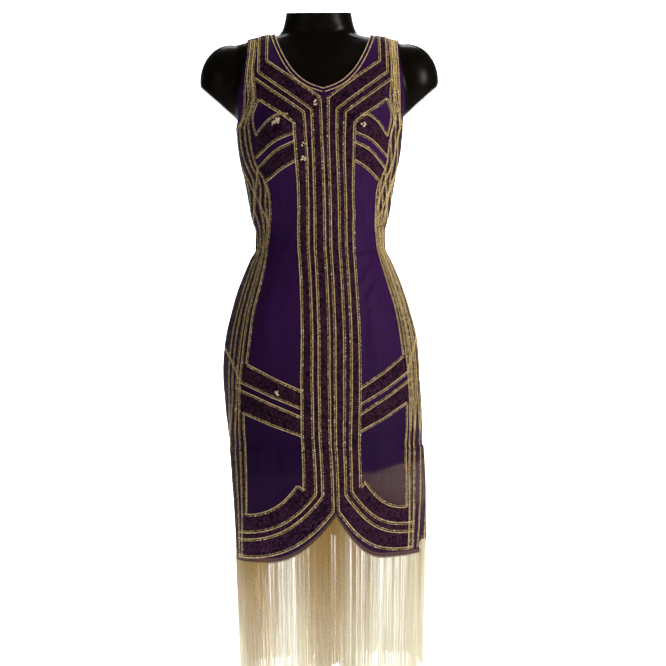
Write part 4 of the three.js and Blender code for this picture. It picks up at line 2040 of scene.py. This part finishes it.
def cut_off(shape: bmesh.types.BMesh, place: Vector, away: Vector) -> list[bmesh.types.BMEdge]:
    """Cuts off what lies beyond a plane.

    Args:
        shape: What is cut.
        place: A place on the plane, in millimetres.
        away: Direction of the part that is cut off.

    Returns:
        The edges round the cut.
    """
    everything = shape.verts[:] + shape.edges[:] + shape.faces[:]
    plane = {"plane_co": place * MM, "plane_no": away.normalized()}
    cut = bmesh.ops.bisect_plane(shape, geom=everything, clear_outer=True, **plane)
    return [part for part in cut["geom_cut"] if isinstance(part, bmesh.types.BMEdge)]


def finished(shape: bmesh.types.BMesh, mesh: Mesh) -> Mesh:
    """Turns a shape's faces outwards and moves it into a mesh.

    Args:
        shape: The shape, which is freed.
        mesh: The mesh.

    Returns:
        The same mesh.
    """
    bmesh.ops.recalc_face_normals(shape, faces=shape.faces[:])
    shape.to_mesh(mesh)
    shape.free()
    return mesh


@dataclass(frozen=True)
class TorsoForm:
    """The black form that wears the dress: a smooth torso with two cut-off shoulder caps."""

    figure: Figure
    inset: float = 1.5
    bottom: float = 420
    shoulder: float = 1090
    top: float = 1158
    neck_y: float = 6
    neck_tilt: float = 0.16
    sides: int = 96
    row_step: float = 7
    shoulder_rows: int = 44
    cap_place: tuple[float, float, float] = (150, 4, 1040)
    cap_size: tuple[float, float, float] = (53, 42, 64)
    cut_x: float = 139
    cut_z: float = 975
    cut_run: float = 62
    cut_rise: float = 55
    voxel: float = 3.3
    spare: float = 16
    calm_share: float = 0.5
    calm_rounds: int = 6
    sharp_from: float = 40

    def torso(self) -> Object:
        """Lofts the figure's rings and closes them by flat ends.

        Returns:
            The torso with its spare ends.
        """
        low, high = self.bottom - self.spare, self.top + self.spare
        coarse = np.arange(low, self.shoulder, self.row_step)
        levels = np.concatenate([coarse, np.linspace(self.shoulder, high, self.shoulder_rows)])
        angle = np.linspace(0, 2 * math.pi, self.sides, endpoint=False)
        grid = np.broadcast_arrays(angle[None, :], levels[:, None])
        points = self.figure.point(*grid) - self.inset * self.figure.normal(*grid)
        points[0, :, 2] = low
        points[-1, :, 2] = high
        number = np.arange(points[..., 0].size).reshape(-1, self.sides)
        turned = np.roll(number, -1, axis=1)
        corners = (number[:-1], turned[:-1], turned[1:], number[1:])
        sides = np.stack([corner.ravel() for corner in corners], 1)
        faces = sides.tolist() + [number[0, ::-1].tolist(), number[-1].tolist()]
        mesh = bpy.data.meshes.new("torso")
        mesh.from_pydata((points.reshape(-1, 3) * MM).tolist(), [], faces)
        return new_object("torso_form", mesh)

    def cap(self, sideways: int) -> Object:
        """Makes one rounded shoulder cap, cut off flat by a slanting plane.

        Args:
            sideways: Which shoulder, -1 or 1.

        Returns:
            The cap.
        """
        shape = bmesh.new()
        bmesh.ops.create_uvsphere(shape, u_segments=64, v_segments=32, radius=1.0)
        x, y, z = self.cap_place
        middle = Vector((sideways * x, y, z))
        for vertex in shape.verts:
            vertex.co = (middle + vertex.co * Vector(self.cap_size)) * MM
        tilt = math.atan2(self.cut_rise, self.cut_run)
        away = Vector((sideways * math.sin(tilt), 0, -math.cos(tilt)))
        rim = cut_off(shape, Vector((sideways * self.cut_x, 0, self.cut_z)), away)
        bmesh.ops.contextual_create(shape, geom=rim)
        mesh = finished(shape, bpy.data.meshes.new("shoulder_cap"))
        return new_object(f"shoulder_cap_{sideways}", mesh)

    def trim(self, mesh: Mesh) -> None:
        """Cuts the spare ends off flat: the tilted top of the neck and the bottom.

        Args:
            mesh: The joined body.
        """
        shape = bmesh.new()
        shape.from_mesh(mesh)
        ends = (
            (Vector((0, self.neck_y, self.top)), Vector((0, -self.neck_tilt, 1))),
            (Vector((0, 0, self.bottom)), Vector((0, 0, -1))),
        )
        for place, away in ends:
            bmesh.ops.edgeloop_fill(shape, edges=cut_off(shape, place, away))
        soften(finished(shape, mesh), self.sharp_from)

    def build(self, material: Material) -> Object:
        """Joins the torso and its caps into one smooth body.

        Args:
            material: Finish of the form.

        Returns:
            The form.
        """
        form = self.torso()
        caps = [self.cap(sideways) for sideways in (-1, 1)]
        for cap in caps:
            joined = form.modifiers.new("join", "BOOLEAN")
            joined.operation = "UNION"
            joined.object = cap
        even = form.modifiers.new("even", "REMESH")
        even.mode = "VOXEL"
        even.voxel_size = self.voxel * MM
        even.use_smooth_shade = True
        calm = form.modifiers.new("calm", "SMOOTH")
        calm.factor = self.calm_share
        calm.iterations = self.calm_rounds
        plain(form)
        self.trim(form.data)
        for cap in caps:
            bpy.data.objects.remove(cap)
        form.data.materials.clear()
        form.data.materials.append(material)
        declare(form, "form_torso")
        return form


@dataclass(frozen=True)
class Stand:
    """The pole under the form and its round base plate."""

    pole_radius: float = 12.5
    pole_top: float = 419.7
    pole_gap: float = 0.3
    pole_edge: float = 0.8
    pole_sides: int = 64
    base_radius: float = 150
    base_height: float = 8
    base_edge: float = 2
    base_foot: float = 1
    base_sides: int = 128
    edge_steps: int = 6
    sharp_from: float = 30

    def turned(self, name: str, profile: Sequence[Place], sides: int) -> Object:
        """A round piece turned from a profile.

        Args:
            name: Name of the piece.
            profile: Radius and level from the bottom centre to the top centre.
            sides: How many sides.

        Returns:
            The piece.
        """
        shape = bmesh.new()
        line = [shape.verts.new((radius * MM, 0, level * MM)) for radius, level in profile]
        edges = [shape.edges.new(pair) for pair in zip(line, line[1:])]
        turn = {"cent": (0, 0, 0), "axis": (0, 0, 1), "angle": 2 * math.pi, "steps": sides}
        bmesh.ops.spin(shape, geom=line + edges, **turn)
        bmesh.ops.remove_doubles(shape, verts=shape.verts[:], dist=1e-6)
        mesh = finished(shape, bpy.data.meshes.new(name))
        soften(mesh, self.sharp_from)
        return new_object(name, mesh)

    def build(self, material: Material) -> list[Object]:
        """Makes the pole and the base.

        Args:
            material: Finish of both.

        Returns:
            The pole and the base.
        """
        foot, top = self.base_height + self.pole_gap, self.pole_top
        outer, inner = self.pole_radius, self.pole_radius - self.pole_edge
        pole = [(0, foot), (inner, foot), (outer, foot + self.pole_edge)]
        pole += [(outer, top - self.pole_edge), (inner, top), (0, top)]
        base = [(0, 0), (self.base_radius - self.base_foot, 0), (self.base_radius, self.base_foot)]
        for turn in np.linspace(0, RIGHT_ANGLE, self.edge_steps):
            radius = self.base_radius - self.base_edge * (1 - math.cos(turn))
            base.append((radius, self.base_height - self.base_edge * (1 - math.sin(turn))))
        base.append((0, self.base_height))
        made = [
            self.turned("stand_pole", pole, self.pole_sides),
            self.turned("stand_base", base, self.base_sides),
        ]
        for piece, node in zip(made, ("form_pole", "form_base")):
            piece.data.materials.append(material)
            declare(piece, node)
        return made


@dataclass(frozen=True)
class SoftLight:
    """A square soft light, aimed at a place."""

    name: str
    place: tuple[float, float, float]
    aim: tuple[float, float, float]
    size: float
    power: float
    colour: tuple[float, float, float] = (1.0, 1.0, 1.0)
    spread: float = 180

    def build(self) -> None:
        """Makes the light."""
        data = bpy.data.lights.new(self.name, "AREA")
        data.size = self.size
        data.energy = self.power
        data.spread = math.radians(self.spread)
        data.color = self.colour
        lamp = bpy.data.objects.new(self.name, data)
        lamp.visible_camera = False
        lamp.location = self.place
        lamp.rotation_euler = (Vector(self.aim) - Vector(self.place)).to_track_quat("-Z", "Y").to_euler()
        bpy.context.scene.collection.objects.link(lamp)


LIGHTS = (
    SoftLight("key_light", (3.0, -2.3, 1.7), (0.0, 0.0, 0.65), 1.2, 100, (1.0, 0.94, 0.84)),
    SoftLight("fill_light", (-2.4, -2.8, 1.3), (0.0, 0.0, 0.6), 2.0, 7, (0.98, 0.97, 1.0)),
    SoftLight("rear_light", (0.3, 3.0, 2.7), (0.0, 0.0, 0.6), 1.6, 20),
    SoftLight("hem_light_left", (-0.9, -1.5, 0.16), (-0.08, 0.0, -0.03), 0.4, 0.5, spread=20),
    SoftLight("hem_light_right", (0.9, -1.5, 0.16), (0.08, 0.0, -0.03), 0.4, 0.12, spread=20),
    SoftLight("back_light", (0.0, 3.6, 4.0), (0.0, 5.4, 1.2), 3.0, 230, spread=110),
    SoftLight("floor_light", (0.0, 2.6, 4.2), (0.0, 2.6, 0.0), 2.6, 150, spread=80),
)


@dataclass(frozen=True)
class Studio:
    """Pale floor and backdrop in one sweep, soft lights and the camera."""

    lights: tuple[SoftLight, ...] = LIGHTS
    floor_y: float = -8.0
    wall_y: float = 5.6
    wall_top: float = 7.0
    curve: float = 2.0
    curve_steps: int = 24
    half_width: float = 8.0
    floor_drop: float = 0.0003
    paper: float = 0.9
    haze: float = 0.10
    camera_place: tuple[float, float, float] = (0.0205, -3.2, 0.6125)
    camera_roll: float = 0.007
    view_height: float = 1.132
    sensor: float = 36.0

    def sweep(self) -> None:
        """Makes the floor that curves up into a backdrop."""
        centre = self.wall_y - self.curve
        line = [(self.floor_y, 0.0)]
        for turn in np.linspace(0, RIGHT_ANGLE, self.curve_steps):
            line.append((centre + self.curve * math.sin(turn), self.curve * (1 - math.cos(turn))))
        line.append((self.wall_y, self.wall_top))
        points = [(s * self.half_width, y, z - self.floor_drop) for y, z in line for s in (-1, 1)]
        faces = [(2 * i, 2 * i + 1, 2 * i + 3, 2 * i + 2) for i in range(len(line) - 1)]
        mesh = bpy.data.meshes.new("pale_sweep")
        mesh.from_pydata(points, [], faces)
        mesh.polygons.foreach_set("use_smooth", np.ones(len(faces), bool))
        pale = (self.paper, self.paper, self.paper, 1)
        material, _, shader = Finish("pale_paper", pale, pale, roughness=0.9, specular=0.1).start()
        shader["Base Color"].default_value = pale
        mesh.materials.append(material)
        sweep = new_object("pale_sweep", mesh)

    def camera(self) -> None:
        """Makes the camera, level and nearly square to the front."""
        data = bpy.data.cameras.new("camera")
        data.sensor_width = self.sensor
        data.lens = self.sensor * abs(self.camera_place[1]) / self.view_height
        eye = bpy.data.objects.new("camera", data)
        eye.location = self.camera_place
        eye.rotation_euler = (RIGHT_ANGLE, self.camera_roll, 0)
        bpy.context.scene.collection.objects.link(eye)
        bpy.context.scene.camera = eye

    def build(self) -> None:
        """Makes the stage, the lights and the camera."""
        scene = bpy.context.scene
        scene.world = bpy.data.worlds.new("studio")
        scene.world.use_nodes = True
        background = scene.world.node_tree.nodes["Background"].inputs
        background[0].default_value = (1.0, 1.0, 1.0, 1)
        background[1].default_value = self.haze
        scene.view_settings.view_transform = "Standard"
        self.sweep()
        self.camera()
        for light in self.lights:
            light.build()


class FlatCut(Enum):
    """Width, length and area of each cut piece of cloth, in metres and square metres."""

    NET_FRONT = (0.46, 0.95, 0.330)
    NET_BACK = (0.47, 0.95, 0.340)
    LINING_FRONT = (0.46, 0.40, 0.150)
    LINING_BACK = (0.47, 0.40, 0.155)

    @property
    def flat(self) -> tuple[float, float]:
        """Width and length."""
        return self.value[:2]

    @property
    def area(self) -> float:
        """Flat area."""
        return self.value[2]


def report(pieces: Sequence[Object]) -> None:
    """Says what each piece holds.

    Args:
        pieces: The finished pieces.
    """
    for piece in pieces:
        mesh = piece.data
        mesh.calc_loop_triangles()
        area = sum(triangle.area for triangle in mesh.loop_triangles)
        LOG.info("%s: %d triangles, %.4f m2 of surface", piece.name, len(mesh.loop_triangles), area)


def main() -> None:
    logging.basicConfig(level=logging.INFO, format="%(name)s %(message)s")
    Studio().build()
    drape = Drape()
    net, lining, tape = NET.material(), LINING.material(), TAPE.material()
    gold, plum, thread = GOLD_BEAD.material(), PLUM_SEQUIN.material(), FRINGE_THREAD.material()
    report([TorsoForm(drape.figure).build(FORM_BLACK.material()), *Stand().build(STEEL.material())])
    for side in Side:
        cut = PanelCut(side, drape)
        outer, inner = Panel(cut).build(net, lining)
        trim = [*Beadwork(cut).build(gold, plum), *Fringe(cut).build(thread, tape)]
        report([outer, inner, *trim])


if __name__ == "__main__":
    main()
